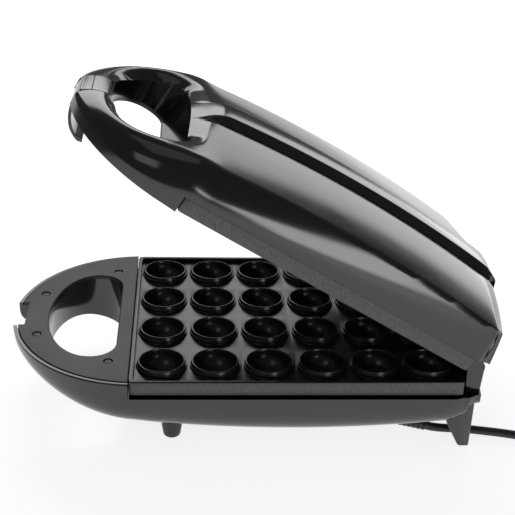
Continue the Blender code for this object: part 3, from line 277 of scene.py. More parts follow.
def finished(name, bm, placing, material, body, replaced=(), sharp=33.0):
    """Puts a mesh in place, gives it its finish and lets it ride on its body."""
    bmesh.ops.recalc_face_normals(bm, faces=bm.faces)
    mesh = bpy.data.meshes.new(name)
    bm.to_mesh(mesh)
    bm.free()
    mesh.transform(placing)
    mesh.shade_smooth()
    mesh.set_sharp_from_angle(angle=math.radians(sharp))
    made = bpy.data.objects.new(name, mesh)
    bpy.context.scene.collection.objects.link(made)
    for one in material if isinstance(material, (list, tuple)) else (material,):
        mesh.materials.append(one)
    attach(made, body)
    if replaced:
        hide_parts(*replaced)
    return made


def loft(sections, capped=True):
    bm = bmesh.new()
    rings = [[bm.verts.new(point) for point in ring] for ring in sections]
    for lower, upper in zip(rings, rings[1:]):
        for i in range(len(lower)):
            j = (i + 1) % len(lower)
            bm.faces.new((lower[i], lower[j], upper[j], upper[i]))
    if capped:
        bm.faces.new(list(reversed(rings[0])))
        bm.faces.new(rings[-1])
    return bm


def prism(outline, low, high, axis='z'):
    if axis == 'z':
        return loft([[(a, b, h) for a, b in outline] for h in (low, high)])
    return loft([[(h, a, b) for a, b in outline] for h in (low, high)])


def box(low, high):
    return prism([(low[0], low[1]), (high[0], low[1]), (high[0], high[1]), (low[0], high[1])],
                 low[2], high[2])


def turned(profile, centre=(0.0, 0.0, 0.0), sides=32, axis='z'):
    """Solid of revolution through (radius, height) points."""
    cx, cy, cz = centre
    rings = []
    for radius, height in profile:
        ring = []
        for i in range(sides):
            a, b = (radius * f(2 * math.pi * i / sides) for f in (math.cos, math.sin))
            spot = {'z': (a, b, height), 'x': (height, a, b), 'y': (a, height, b)}[axis]
            ring.append((cx + spot[0], cy + spot[1], cz + spot[2]))
        rings.append(ring)
    return loft(rings)


def arc(centre, radius, start, end, steps):
    points = []
    for i in range(steps + 1):
        angle = math.radians(start + (end - start) * i / steps)
        points.append((centre[0] + radius * math.cos(angle), centre[1] + radius * math.sin(angle)))
    return points


def catmull(points, per_span):
    ends = [points[0]] + list(points) + [points[-1]]
    curve = []
    for p0, p1, p2, p3 in zip(ends, ends[1:], ends[2:], ends[3:]):
        for i in range(per_span):
            t = i / per_span
            curve.append(tuple(
                0.5 * (2 * b + (c - a) * t + (2 * a - 5 * b + 4 * c - d) * t * t
                       + (3 * b - a - 3 * c + d) * t ** 3)
                for a, b, c, d in zip(p0, p1, p2, p3)))
    curve.append(tuple(points[-1]))
    return curve


def carved(target, shapes, joined=()):
    """Cuts all the shapes out in one exact step, adds the joined ones, and keeps the result."""
    helpers = []
    for operation, group in (('DIFFERENCE', shapes), ('UNION', joined)):
        for bm in group:
            bmesh.ops.recalc_face_normals(bm, faces=bm.faces)
            mesh = bpy.data.meshes.new("tool")
            bm.to_mesh(mesh)
            bm.free()
            tool = bpy.data.objects.new("tool", mesh)
            bpy.context.scene.collection.objects.link(tool)
            helpers.append((operation, tool))
    cuts = bpy.data.collections.new("cuts")
    for operation, tool in helpers:
        if operation == 'DIFFERENCE':
            cuts.objects.link(tool)
    step = target.modifiers.new("cuts", 'BOOLEAN')
    step.operand_type, step.collection, step.solver = 'COLLECTION', cuts, 'EXACT'
    for operation, tool in helpers:
        if operation == 'UNION':
            step = target.modifiers.new("join", 'BOOLEAN')
            step.operation, step.object, step.solver = 'UNION', tool, 'EXACT'
    graph = bpy.context.evaluated_depsgraph_get()
    mesh = bpy.data.meshes.new_from_object(target.evaluated_get(graph), depsgraph=graph)
    target.modifiers.clear()
    target.data = mesh
    for _, tool in helpers:
        bpy.data.objects.remove(tool, do_unlink=True)
    bpy.data.collections.remove(cuts)
    return target


def refine(made, placing, sharp=33.0):
    """Places a carved mesh and sets which of its edges stay crisp."""
    mesh = made.data
    mesh.transform(placing)
    mesh.shade_smooth()
    mesh.set_sharp_from_angle(angle=math.radians(sharp))
    weigh = made.modifiers.new("even_shading", 'WEIGHTED_NORMAL')
    weigh.keep_sharp = True
    return made


# ---------------------------------------------------------------- camera, floor and light

def aimed(made, place, target):
    made.location = place
    made.rotation_mode = 'QUATERNION'
    made.rotation_quaternion = (Vector(target) - Vector(place)).to_track_quat('-Z', 'Y')


CAMERA_PLACE = (733.24, -73.84, 405.42)
CAMERA_TURN = (3.922, 26.221, 2.105)        # yaw, pitch down and roll, in degrees
CAMERA_LENS, CAMERA_SENSOR = 80.92, 36.0


def build_camera():
    yaw, pitch, roll = (math.radians(a) for a in CAMERA_TURN)
    ahead = Vector((-math.cos(pitch) * math.cos(yaw), math.cos(pitch) * math.sin(yaw),
                    -math.sin(pitch)))
    level = Vector((math.sin(yaw), math.cos(yaw), 0.0))
    over = level.cross(ahead)
    right = math.cos(roll) * level + math.sin(roll) * over
    up = math.cos(roll) * over - math.sin(roll) * level
    data = bpy.data.cameras.new("camera")
    data.sensor_width = CAMERA_SENSOR
    data.lens = CAMERA_LENS
    data.clip_start = 0.02
    made = bpy.data.objects.new("camera", data)
    bpy.context.scene.collection.objects.link(made)
    turn = Matrix((right, up, -ahead)).transposed()
    place = Vector(CAMERA_PLACE) * MM + ORIGIN
    made.matrix_world = Matrix.Translation(place) @ turn.to_4x4()
    bpy.context.scene.camera = made


def softbox(name, azimuth, elevation, distance, size, radiance, spin=0.0):
    """Area light aimed at the object, turned about its aim; azimuth 0 is -X and grows to +Y."""
    a, e = math.radians(azimuth), math.radians(elevation)
    centre = Vector((0.0, 0.03, 0.12))
    place = centre + distance * Vector((-math.cos(e) * math.cos(a), math.cos(e) * math.sin(a),
                                        math.sin(e)))
    data = bpy.data.lights.new(name, 'AREA')
    data.shape = 'RECTANGLE'
    data.size, data.size_y = size
    data.energy = radiance * math.pi * size[0] * size[1]
    made = bpy.data.objects.new(name, data)
    bpy.context.scene.collection.objects.link(made)
    aimed(made, place, centre)
    made.rotation_quaternion = made.rotation_quaternion @ Quaternion((0, 0, 1), math.radians(spin))


def build_stage():
    floor = bpy.data.meshes.new("floor")
    reach = 30.0
    floor.from_pydata([(-reach, -reach, 0), (reach, -reach, 0), (reach, reach, 0),
                       (-reach, reach, 0)], [], [(0, 1, 2, 3)])
    made = bpy.data.objects.new("floor", floor)
    made.location.z = -0.0002
    bpy.context.scene.collection.objects.link(made)
    pale = Finish("pale_floor", (0.86, 0.86, 0.86), 0.75, Emission_Strength=0.80,
                  Emission_Color=(1.0, 1.0, 1.0, 1.0), Specular_IOR_Level=0.1)
    floor.materials.append(pale.made)
    world = bpy.data.worlds.new("room")
    world.use_nodes = True
    room = world.node_tree.nodes["Background"]
    room.inputs["Color"].default_value = (1.0, 1.0, 1.0, 1.0)
    room.inputs["Strength"].default_value = 0.10
    bpy.context.scene.world = world
    bpy.context.scene.view_settings.view_transform = 'Standard'
    softbox("rear_right_strip", 30.0, 12.0, 1.25, (0.34, 1.25), 1.9, -33.0)
    softbox("rear_left_card", -12.0, 33.0, 1.3, (0.80, 0.55), 2.4)
    softbox("front_low_card", 157.0, 5.0, 1.6, (0.46, 0.34), 4.4)
    softbox("front_left_card", 215.0, 40.0, 1.8, (0.6, 0.6), 0.8)
    softbox("overhead", 90.0, 84.0, 1.7, (1.1, 1.1), 0.25)


# ---------------------------------------------------------------- cord

CORD_RADIUS = 3.0
CORD_ROUTE = (                  # x, y and height above the line where the cord lies on the table
    (66.0, 93.4, 1.6), (66.1, 96.0, 0.9), (66.4, 99.5, 0.3), (67.2, 106.0, 0.0),
    (68.2, 118.0, 0.0), (69.6, 127.0, 0.0), (71.4, 136.0, 0.0), (73.4, 145.0, 0.0),
    (75.8, 154.0, 0.0), (78.6, 163.0, 0.0), (80.6, 172.0, 0.0), (81.2, 181.0, 0.0),
    (80.4, 190.0, 0.0), (78.2, 197.5, 0.0))
TAIL_ROUTE = (
    (40.0, 243.6, 0.0), (34.0, 243.8, 0.1), (28.0, 243.9, 0.7), (22.0, 243.9, 2.0),
    (16.0, 243.9, 3.7), (10.0, 243.9, 5.0), (6.0, 243.9, 5.4), (4.3, 243.9, 5.4))
COIL_CENTRE = (42.6, 207.0)
COIL_IN, COIL_OUT = 23.95, 30.0     # centreline radii of the inner and outer turns
COIL_LOW, COIL_HIGH = 1.3, 7.9      # their heights above the line on the table
COIL_START, COIL_TURNS = -15.0, 3
COIL_END = 94.0


def coil_points():
    """Low outer turn, low inner turn, high outer turn, then down the outside."""
    points = []
    last = COIL_END + 360 * COIL_TURNS
    angle = COIL_START + 15
    while angle < last - 6:
        turn = (angle - COIL_START) / 360
        inward = smooth((turn - 1) * 6)
        upward = smooth((turn - 2) * 6)
        outward = smooth((turn - 2.1) * 5)
        radius = COIL_OUT - (COIL_OUT - COIL_IN) * (inward - outward)
        radius += 6.8 * (1 - smooth(turn * 6))
        height = COIL_LOW * smooth(turn * 6) + (COIL_HIGH - COIL_LOW) * upward
        if turn > COIL_TURNS:
            over = math.radians(101 * smooth((turn - COIL_TURNS) * 360 / (COIL_END - COIL_START)))
            radius = COIL_OUT + 6.7 * math.sin(over)
            height = COIL_LOW + (COIL_HIGH - COIL_LOW) * math.cos(over)
        a = math.radians(angle)
        points.append((COIL_CENTRE[0] + radius * math.cos(a), COIL_CENTRE[1]
                       + radius * math.sin(a), max(0.0, height)))
        angle += 15
    return points


def build_cord():
    """One continuous lead from the strain relief through its coil to the plug."""
    laid = catmull(list(CORD_ROUTE) + coil_points() + list(TAIL_ROUTE), 5)
    points = [PLACED @ Vector((x, y, TABLE_HEIGHT + CORD_RADIUS + 0.1 + rise))
              for x, y, rise in laid]
    data = bpy.data.curves.new("mains_cord", 'CURVE')
    data.dimensions = '3D'
    data.bevel_depth = CORD_RADIUS * MM
    data.bevel_resolution = 6
    data.use_fill_caps = True
    line = data.splines.new('POLY')
    line.points.add(len(points) - 1)
    for spot, point in zip(line.points, points):
        spot.co = (*point, 1.0)
    line.use_smooth = True
    data.materials.append(cord_finish)
    made = bpy.data.objects.new("mains_cord", data)
    bpy.context.scene.collection.objects.link(made)
    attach(made, "base")
    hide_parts("power_cord", "cord_coil", "cord_tail")
    plug = build_plug()


PLUG_SECTIONS = ((4.0, 4.3, 4.2), (3.2, 4.6, 4.5), (-2.0, 4.9, 4.7), (-5.0, 5.4, 5.0),
                 (-6.4, 7.0, 5.7), (-8.4, 10.0, 7.2), (-11.0, 11.7, 8.1), (-16.0, 12.2, 8.25),
                 (-24.0, 12.4, 8.3), (-27.6, 12.0, 8.0), (-29.4, 11.2, 7.4), (-30.0, 10.2, 6.6))


def build_plug():
    middle, height = TAIL_ROUTE[-1][1], TABLE_HEIGHT + CORD_RADIUS + 0.1 + TAIL_ROUTE[-1][2]
    sections = []
    for x, half_y, half_z in PLUG_SECTIONS:
        ring = []
        for i in range(40):
            a = 2 * math.pi * i / 40
            c, s = math.cos(a), math.sin(a)
            ring.append((x, middle + half_y * math.copysign(abs(c) ** 0.62, c),
                         height + half_z * math.copysign(abs(s) ** 0.62, s)))
        sections.append(ring)
    return finished("plug", loft(sections), PLACED, cord_finish, "base", ["plug_body"], 40)


def build_gland():
    """Ribbed, tapered strain relief."""
    start, slope, length = Vector((66.0, 60.7, -43.2)), math.radians(18.0), 34.0
    profile = [(4.9, 0.0), (4.9, 11.0)]
    for i in range(6):
        near = 11.6 + i * 3.5
        big = 4.9 - 0.2 * i
        profile += [(big, near), (big, near + 2.0), (big - 0.8, near + 2.4), (big - 0.8, near + 3.1)]
    profile += [(3.75, 32.9), (3.7, length)]
    bm = turned(profile, sides=28, axis='y')
    turn = Matrix.Translation(start) @ Matrix.Rotation(-slope, 4, 'X')
    bmesh.ops.transform(bm, matrix=turn, verts=bm.verts)
    finished("cord_relief", bm, PLACED, cord_finish, "base", ["strain_relief"], 50)


# ---------------------------------------------------------------- plates

CUP_SIDES = 48


def cell_edge(cx, cy):
    """Points round one cup's cell, as many as the cup has sides, shared with its neighbours."""
    hx, hy = PITCH_ACROSS / 2, PITCH_ALONG / 2
    quarter = CUP_SIDES // 4
    points = []
    for sx, sy, dx, dy in ((1, -1, 0, 1), (1, 1, -1, 0), (-1, 1, 0, -1), (-1, -1, 1, 0)):
        for i in range(quarter):
            share = 2 * i / quarter
            points.append((cx + sx * hx + dx * hx * share, cy + sy * hy + dy * hy * share))
    return points


def cup_rings():
    """Profile of one cup, from the plate's floor over the raised rim and down the bowl."""
    rings = [(17.6, -5.2), (17.1, -5.1), (16.85, -4.8), (16.8, -4.2), (16.8, -3.3), (16.6, -2.95),
             (16.15, -2.8), (15.95, -2.5), (15.85, -0.85), (15.65, -0.45), (15.3, -0.3),
             (14.95, -0.32)]
    rings += [(14.6 * math.cos(math.radians(a)), -0.6 - 14.1 * math.sin(math.radians(a)))
              for a in (1, 7, 14, 22, 31, 40, 50, 60, 70, 80)]
    return rings


def cup_skin(bm, seen, flip):
    sign = -1 if flip else 1
    hx, hy = PITCH_ACROSS / 2, PITCH_ALONG / 2

    def shared(x, y, z):
        key = (round(x * 1e3), round(y * 1e3), round(z * 1e3))
        if key not in seen:
            seen[key] = bm.verts.new((x, y, z))
        return seen[key]

    for row in range(CUPS_ALONG):
        for column in range(CUPS_ACROSS):
            cx = (column - (CUPS_ACROSS - 1) / 2) * PITCH_ACROSS
            cy = (row - (CUPS_ALONG - 1) / 2) * PITCH_ALONG
            last = [shared(x, y, -sign * 5.2) for x, y in cell_edge(cx, cy)]
            for radius, z in cup_rings():
                ring = []
                for i in range(CUP_SIDES):
                    a = math.radians(-45 + 360 * i / CUP_SIDES)
                    rx = min(radius, hx - 0.6)
                    ry = min(radius, hy - 0.15)
                    ring.append(bm.verts.new((cx + rx * math.cos(a), cy + ry * math.sin(a),
                                              sign * z)))
                for i in range(CUP_SIDES):
                    j = (i + 1) % CUP_SIDES
                    bm.faces.new((last[i], last[j], ring[j], ring[i]))
                last = ring
            tip = bm.verts.new((cx, cy, -sign * 14.7))
            for i in range(CUP_SIDES):
                bm.faces.new((last[i], last[(i + 1) % CUP_SIDES], tip))


def rounded_ring(bm, source, grow, z, corner):
    """A copy of the grid's outer vertices, moved out by grow, with rounded corners."""
    made = []
    for x, y in source:
        nx, ny = x / GRID_X * (GRID_X + grow), y / GRID_Y * (GRID_Y + grow)
        hx, hy = GRID_X + grow - corner, GRID_Y + grow - corner
        dx, dy = abs(nx) - hx, abs(ny) - hy
        if dx > 0 and dy > 0:
            size = corner / math.hypot(dx, dy)
            nx, ny = math.copysign(hx + dx * size, nx), math.copysign(hy + dy * size, ny)
        made.append(bm.verts.new((nx, ny, z)))
    return made


def build_plate(name, flip, placing, body):
    """Cup side, raised border with a small round, side wall and a plain underside."""
    sign = -1 if flip else 1
    bm = bmesh.new()
    seen = {}
    cup_skin(bm, seen, flip)
    edge = [v for v in seen.values()
            if abs(abs(v.co.x) - GRID_X) < 1e-4 or abs(abs(v.co.y) - GRID_Y) < 1e-4]
    edge.sort(key=lambda v: math.atan2(v.co.y / GRID_Y, v.co.x / GRID_X))
    spots = [(v.co.x, v.co.y) for v in edge]
    rings = [edge]
    for grow, z in ((0.1, -2.6), (0.35, -2.15), (0.8, -2.0), (2.3, -2.0), (2.75, -2.15),
                    (3.0, -2.6), (3.0, -7.0), (3.0, -11.6), (2.8, -12.0)):
        rings.append(rounded_ring(bm, spots, grow, sign * z, 1.6 + 0.2 * grow))
    for index, (first, second) in enumerate(zip(rings, rings[1:])):
        for i in range(len(first)):
            j = (i + 1) % len(first)
            face = bm.faces.new((first[i], first[j], second[j], second[i]))
            face.material_index = 1 if index >= 6 else 0
    under = bm.faces.new(rings[-1])
    under.material_index = 1
    return finished(name, bm, placing, (plate_finish, wall_finish), body,
                    [name.replace("_smooth", "")], 38)


# ---------------------------------------------------------------- base

def plan_half(y, half, reach):
    """Half width of a housing at y: round handle, straight sides, tapered rear corners."""
    if y < HANDLE_START:
        t = min(1.0, (HANDLE_START - y) / reach)
        return half * math.sqrt(1 - t * t)
    if y <= CORNER_START:
        return half
    if y <= CORNER_END:
        return half - CORNER_TAPER * smooth((y - CORNER_START) / (CORNER_END - CORNER_START))
    return (half - CORNER_TAPER) * math.sqrt(max(0.0, (REAR_TIP - y) / REAR_BULGE))


def handle_rows(reach):
    return [HANDLE_START - reach * math.sin(math.radians(a))
            for a in (86, 84, 81.5, 79, 76, 73, 70, 67, 64, 61, 58, 55, 52, 49, 46, 43, 40, 37, 34,
                      31, 28, 25, 22, 19, 16, 13, 10, 7, 4)]


def belly(y):
    if y < HANDLE_START:
        t = min(1.0, (HANDLE_START - y) / BASE_REACH)
        root = BELLY_DROP - HANDLE_START ** 2 / (2 * BELLY_RADIUS) - TOP_DROP
        return -TOP_DROP - TIP_DEPTH - (root - TIP_DEPTH) * (1 - t * t)
    return -BELLY_DROP + y * y / (2 * BELLY_RADIUS)


def bowl(y, half, low, exponent, top=-TOP_DROP, steps=26, edge=1.1):
    """Bowl-shaped cross-section with a flat top and a small round on its upper edge."""
    round_steps = 4
    right = [(half - edge + edge * math.sin(math.radians(90 * i / round_steps)),
              top - edge + edge * math.cos(math.radians(90 * i / round_steps)))
             for i in range(round_steps)]
    for i in range(steps + 1):
        angle = math.pi / 2 * i / steps
        c, s = math.cos(angle), math.sin(angle)
        right.append((half * c ** (2 / exponent), top - edge - (top - edge - low)
                      * s ** (2 / exponent)))
    right[-1] = (0.0, low)
    return ([(x, y, z) for x, z in right]
            + [(-x, y, z) for x, z in reversed(right[:-1])])


def base_rings():
    rings = []
    for y in handle_rows(BASE_REACH):
        t = (HANDLE_START - y) / BASE_REACH
        rings.append(bowl(y, plan_half(y, BASE_HALF, BASE_REACH), belly(y), max(2.4, 4.7 - 2.6 * t)))
    y = -104.0
    while y < TUB_REAR - 6:
        share = smooth((y + 107) / 12)
        rings.append(bowl(y, plan_half(y, BASE_HALF, BASE_REACH), belly(y), 4.7 + 0.1 * share))
        y += 6.0
    half = plan_half(TUB_REAR, BASE_HALF, BASE_REACH)
    for back, lift in ((4.0, 0.3), (2.2, 1.2), (1.0, 2.5), (0.2, 4.4), (0.0, 6.0)):
        rings.append(bowl(TUB_REAR - back, half, belly(TUB_REAR) + lift, 4.8))
    for y in (TUB_REAR + 0.5, 117.0, 119.5, 122.0, CORNER_END, 125.0, REAR_TIP - 2.6,
              REAR_TIP - 1.6, REAR_TIP - 0.9, REAR_TIP - 0.4, REAR_TIP - 0.1):
        rings.append(bowl(y, plan_half(y, BASE_HALF, BASE_REACH), -LEDGE_DROP, 9.0))
    return rings


def hole_outline(grow, steps=10):
    half, reach = HOLE_HALF + grow, HOLE_REACH + grow
    back, corner = HOLE_CENTRE + HOLE_BACK + grow, HOLE_CORNER + grow
    points = arc((half - corner, back - corner), corner, 0, 90, steps)
    points += arc((-half + corner, back - corner), corner, 90, 180, steps)
    for i in range(1, 44):
        angle = math.radians(180 + 180 * i / 44)
        points.append((half * math.cos(angle), HOLE_CENTRE + reach * math.sin(angle)))
    return points


def cover_outline(half, reach, rear):
    points = [(half, rear)]
    for i in range(73):
        angle = math.radians(180 * i / 72)
        y = HANDLE_START - reach * math.sin(angle)
        if y < rear:
            points.append((half * math.cos(angle), y))
    points.append((-half, rear))
    return points


def drafted_hole(rim, at):
    """Hand-hole cutter that flares out in a small round at the surface height at."""
    rows = [(-80.0, 0.0)]
    rows += [(at - rim + rim * math.sin(math.radians(a)), rim - rim * math.cos(math.radians(a)))
             for a in (0, 22, 45, 68, 88)]
    rows.append((at + 20.0, rim))
    return loft([[(x, y, z) for x, y in hole_outline(grow)] for z, grow in rows])


def latch_line():
    top = [(y, lid_height(0.0, y)) for y in LATCH_TOP]
    return top + list(LATCH_TAB)


def offset_line(line, distance):
    moved = []
    for i, point in enumerate(line):
        before, after = line[max(0, i - 1)], line[min(len(line) - 1, i + 1)]
        dy, dz = after[0] - before[0], after[1] - before[1]
        size = math.hypot(dy, dz)
        moved.append((point[0] - dz / size * distance, point[1] + dy / size * distance))
    return moved


def latch_notch():
    inner = offset_line(latch_line(), LATCH_THICK + 0.6)[len(LATCH_TOP):]
    outside = [(HOLE_CENTRE - HOLE_REACH, -60.0), (-230.0, -60.0), (-230.0, 20.0),
               (inner[0][0], 20.0)]
    half = LATCH_HALF + 1.5
    return prism(inner + outside, -half, half, 'x')


def build_base():
    shell = finished("base_housing", loft(base_rings()), Matrix(), gloss_finish, "base",
                     ["base_shell"])
    cavity = []
    for y in (-102.0, -60.0, 0.0, 60.0, 100.0, TUB_REAR - 3.5):
        half = plan_half(y, BASE_HALF, BASE_REACH) - 5.0
        cavity.append(bowl(y, half, belly(y) + 3.5, 4.4, 0.0, 10))
    rim = 3.0 - 0.4
    recess = prism(cover_outline(BASE_HALF - rim, BASE_REACH - rim, HANDLE_STEP + 1),
                   -2.0 - COVER_THICK - 0.3, 10.0)
    cuts = [box((-120, HANDLE_STEP, -TRAY_DROP), (120, 150, 20)), loft(cavity), recess,
            prism(hole_outline(0.0), -80.0, 20.0), latch_notch()]
    towers = []
    for side in (-1, 1):
        low, high = sorted((side * TOWER_INNER, side * TOWER_OUTER))
        profile = [(HINGE.y + BARREL - 2, -TRAY_DROP - 2)]
        profile += arc((HINGE.y, HINGE.z), BARREL, -20, 200, 28)
        profile += [(HINGE.y - BARREL + 1, -TRAY_DROP - 2)]
        towers.append(prism(profile, low, high, 'x'))
    refine(carved(shell, cuts, towers), PLACED)


def build_base_cover():
    """Satin cover with a narrow round along its outer edge and round the hand hole."""
    rows = ((-4.4, 0.35), (-4.1, 0.1), (-3.6, 0.0), (-2.5, 0.0), (-2.15, 0.15), (-2.0, 0.5))
    rim = 3.0 + 0.3
    rings = []
    for z, inset in rows:
        rings.append([(x, y, z) for x, y in cover_outline(BASE_HALF - rim - inset,
                                                          BASE_REACH - rim - inset,
                                                          HANDLE_STEP - inset)])
    cover = finished("base_cover", loft(rings), Matrix(), satin_finish, "base",
                     ["base_handle_cover"])
    cuts = [drafted_hole(0.8, -2.0), latch_notch()]
    for x, y in SCREWS:
        cuts.append(turned(((1.4, -4.0), (1.4, -1.7), (2.9, -1.5), (3.1, -0.4), (3.5, 0.01),
                            (3.5, 1.0)), (x, y, -2.0), 28))
    refine(carved(cover, cuts), PLACED)


def screw_head(name, x, y, z, down, placing, body, replaced):
    """Sunk pan head with a cross slot."""
    flip = -1 if down else 1
    profile = [(0.95, -6.0), (0.95, -0.9), (2.6, -0.9), (2.6, -0.45), (2.45, -0.2), (2.0, -0.04),
               (1.2, 0.0)]
    bm = turned([(r, flip * h) for r, h in profile], (x, y, z), 28)
    head = finished(name, bm, Matrix(), screw_finish, body, [replaced])
    slots = []
    for long_x, long_y in ((1.5, 0.3), (0.3, 1.5)):
        slots.append(box((x - long_x, y - long_y, z - 0.45), (x + long_x, y + long_y, z + 0.45)))
    refine(carved(head, slots), placing, 30)


# ---------------------------------------------------------------- lid

def crown(y):
    return (y - 15.0) ** 2 / 2000.0


def body_height(x, y):
    """Top of the lid over the plates: steep side, soft crease, sloping shoulder, raised panel."""
    half = plan_half(y, LID_HALF, LID_REACH) if y > HANDLE_START else LID_HALF
    crease = (CREASE_HALF + CREASE_TAPER * y) * half / LID_HALF
    edge = CREASE_HEIGHT - crown(y)
    share = max(0.0, (half - x) / (half - crease))
    if share < 1:
        side = SIDE_LOW + (edge - SIDE_LOW) * share ** 0.55
    else:
        side = edge + (share - 1) * 6.0
    out = max(0.0, (x - PANEL_HALF) / (crease - PANEL_HALF))
    rise = SHOULDER_RISE * (1 - out ** 1.5)
    top = edge + max(-6.0, rise)
    soft = 1.6
    over = side - top
    low = min(side, top)
    if abs(over) < soft:
        low -= (soft - abs(over)) ** 2 / (4 * soft)
    step = PANEL_STEP * smooth((PANEL_HALF + PANEL_EDGE - x) / PANEL_EDGE)
    groove = 1.3 * math.exp(-((x - PANEL_HALF - PANEL_EDGE - 0.6) / 1.1) ** 2)
    fade = smooth((y - PANEL_FRONT) / 10.0)
    dome = 0.5 * max(0.0, 1 - (x / PANEL_HALF) ** 2)
    return low + (step + dome - groove) * fade


def hole_distance(x, y):
    if y > HOLE_CENTRE:
        dx = x - HOLE_HALF + HOLE_CORNER
        dy = y - HOLE_CENTRE - HOLE_BACK + HOLE_CORNER
        return math.hypot(max(dx, 0.0), max(dy, 0.0)) + min(max(dx, dy), 0.0) - HOLE_CORNER
    ex, ey = x / HOLE_HALF, (y - HOLE_CENTRE) / HOLE_REACH
    size = math.hypot(ex, ey)
    slope = math.hypot(ex / HOLE_HALF, ey / HOLE_REACH)
    return (size - 1) * size / slope if slope else -HOLE_REACH


def handle_height(x, y):
    crest = HANDLE_CREST + HANDLE_FALL * (y - HANDLE_ROOT)
    t = max(0.0, (HANDLE_START - y) / LID_REACH)
    inward = max(0.0, (1 - math.hypot(x / LID_HALF, t)) * LID_REACH)
    outer = (1 - (1 - min(1.0, inward / HANDLE_ROUND)) ** 2.2) ** (1 / 2.2)
    near = 1 - min(1.0, max(0.0, hole_distance(x, y) / HOLE_ROUND))
    side = smooth(x / HOLE_HALF)
    drop = HOLE_END_DROP + (HOLE_SIDE_DROP - HOLE_END_DROP) * side
    turned_down = (1 - math.sqrt(1 - 0.8 * near ** 2)) / (1 - math.sqrt(0.2))
    return HANDLE_WAIST + (crest - HANDLE_WAIST) * outer - drop * turned_down


def lid_height(x, y):
    blend = smooth((BLEND_START - y) / BLEND_LENGTH)
    if blend <= 0:
        return body_height(x, y)
    return handle_height(x, y) * blend + body_height(x, y) * (1 - blend)


LID_SHARES = ([1.0, 0.9985, 0.996, 0.992, 0.987, 0.981, 0.974, 0.966, 0.957, 0.947, 0.937, 0.927,
               0.917, 0.907, 0.897, 0.885, 0.872] + [0.86 - 0.0145 * i for i in range(46)]
              + [0.186, 0.18, 0.174, 0.168, 0.162, 0.156, 0.15, 0.144, 0.138, 0.132, 0.124, 0.11,
                 0.085, 0.05, 0.0])


def lid_ring(y):
    half = plan_half(y, LID_HALF, LID_REACH)
    right = [(half * share, lid_height(half * share, y)) for share in LID_SHARES]
    low = min(1.2, right[0][1] - 1.0)
    tuck = 1.2 * smooth((HANDLE_STEP - y) / 3.0)
    ring = [(x, y, z) for x, z in right] + [(-x, y, z) for x, z in reversed(right[:-1])]
    return ring + [(-right[0][0] + tuck, y, low), (right[0][0] - tuck, y, low)]


def leaned(ring, drop, cap):
    """Rear ring lowered, capped and leaned forward towards its top at the corners."""
    made = []
    for x, y, z in ring:
        top = min(z - drop, cap) if z > SIDE_LOW else z
        back = smooth((y - CORNER_START) / (CORNER_END - CORNER_START))
        up = min(1.0, max(0.0, (top - SKIRT) / 22.0))
        made.append((x, y - 6.0 * back * up * (x / LID_HALF) ** 2, top))
    return made


REAR_ROWS = ((111.0, 0.0, 60.0), (113.0, 0.05, 60.0), (115.0, 0.15, 55.0), (117.0, 0.3, 50.0),
             (119.5, 0.5, 46.5), (121.5, 0.9, 45.7), (123.5, 1.5, 45.0), (125.5, 2.5, 44.0),
             (126.7, 3.2, 43.4), (127.5, 4.0, 42.8), (128.3, 5.0, 41.8), (128.7, 6.0, 40.5))


def build_lid():
    rings = [lid_ring(y) for y in handle_rows(LID_REACH)]
    y = -110.0
    while y < 110:
        rings.append(lid_ring(y))
        y += 2.2 if y < -84 else 5.0
    rings += [leaned(lid_ring(y), drop, cap) for y, drop, cap in REAR_ROWS]
    shell = finished("lid_housing", loft(rings), Matrix(), gloss_finish, "lid",
                     ["lid_shell"])
    cavity = []
    for y in (-104.0, -60.0, 0.0, 60.0, 100.0, 117.0):
        ring = lid_ring(y)
        top = [(max(0.0, abs(x) - 2.5) * (1 if x >= 0 else -1), y, z - 2.5) for x, _, z in ring]
        cavity.append([(x, y, max(z, 5.0)) for x, y, z in top])
    hole = loft([[(x, y, z) for x, y in hole_outline(grow)] for z, grow in HOLE_DRAFT])
    recess = prism(cover_outline(LID_HALF - 5, LID_REACH - 5, HANDLE_STEP - 2), -10.0,
                   1.2 + COVER_THICK + 0.3)
    half = LATCH_HALF + 0.3
    front, back = LATCH_TAB[2][0] + 4, HOLE_CENTRE - HOLE_REACH + 5
    slot = [(-205, -5), (front, -5), (front, 5.8), (back, 5.8), (back, 40), (-205, 40)]
    cuts = [box((-120, HANDLE_STEP, -20), (120, 150, SKIRT)), loft(cavity), hole, recess,
            prism(slot, -half, half, 'x')]
    knuckles = []
    for side in (-1, 1):
        outer = side * (TOWER_INNER - 0.5)
        low, high = sorted((outer, outer - side * KNUCKLE))
        profile = arc((HINGE.y, HINGE.z), BARREL, 180, 360, 20)
        profile += [(HINGE.y + BARREL, SKIRT + 6), (HINGE.y - 4, SKIRT + 6),
                    (HINGE.y - BARREL, SKIRT)]
        knuckles.append(prism(profile, low, high, 'x'))
    refine(carved(shell, cuts, knuckles), OPENED)


def build_lid_cover():
    rim = 5.4
    cover = finished("lid_cover", prism(cover_outline(LID_HALF - rim, LID_REACH - rim,
                                                      HANDLE_STEP - 2.4), 1.2, 1.2 + COVER_THICK),
                     Matrix(), satin_finish, "lid", ["lid_handle_cover"])
    cuts = [prism(hole_outline(HOLE_DRAFT[0][1]), -20.0, 30.0)]
    for x, y in SCREWS:
        cuts.append(turned(((3.1, -1.0), (3.1, 1.5), (1.4, 1.5), (1.4, 4.0)), (x, y, 1.2), 28))
    refine(carved(cover, cuts), OPENED)


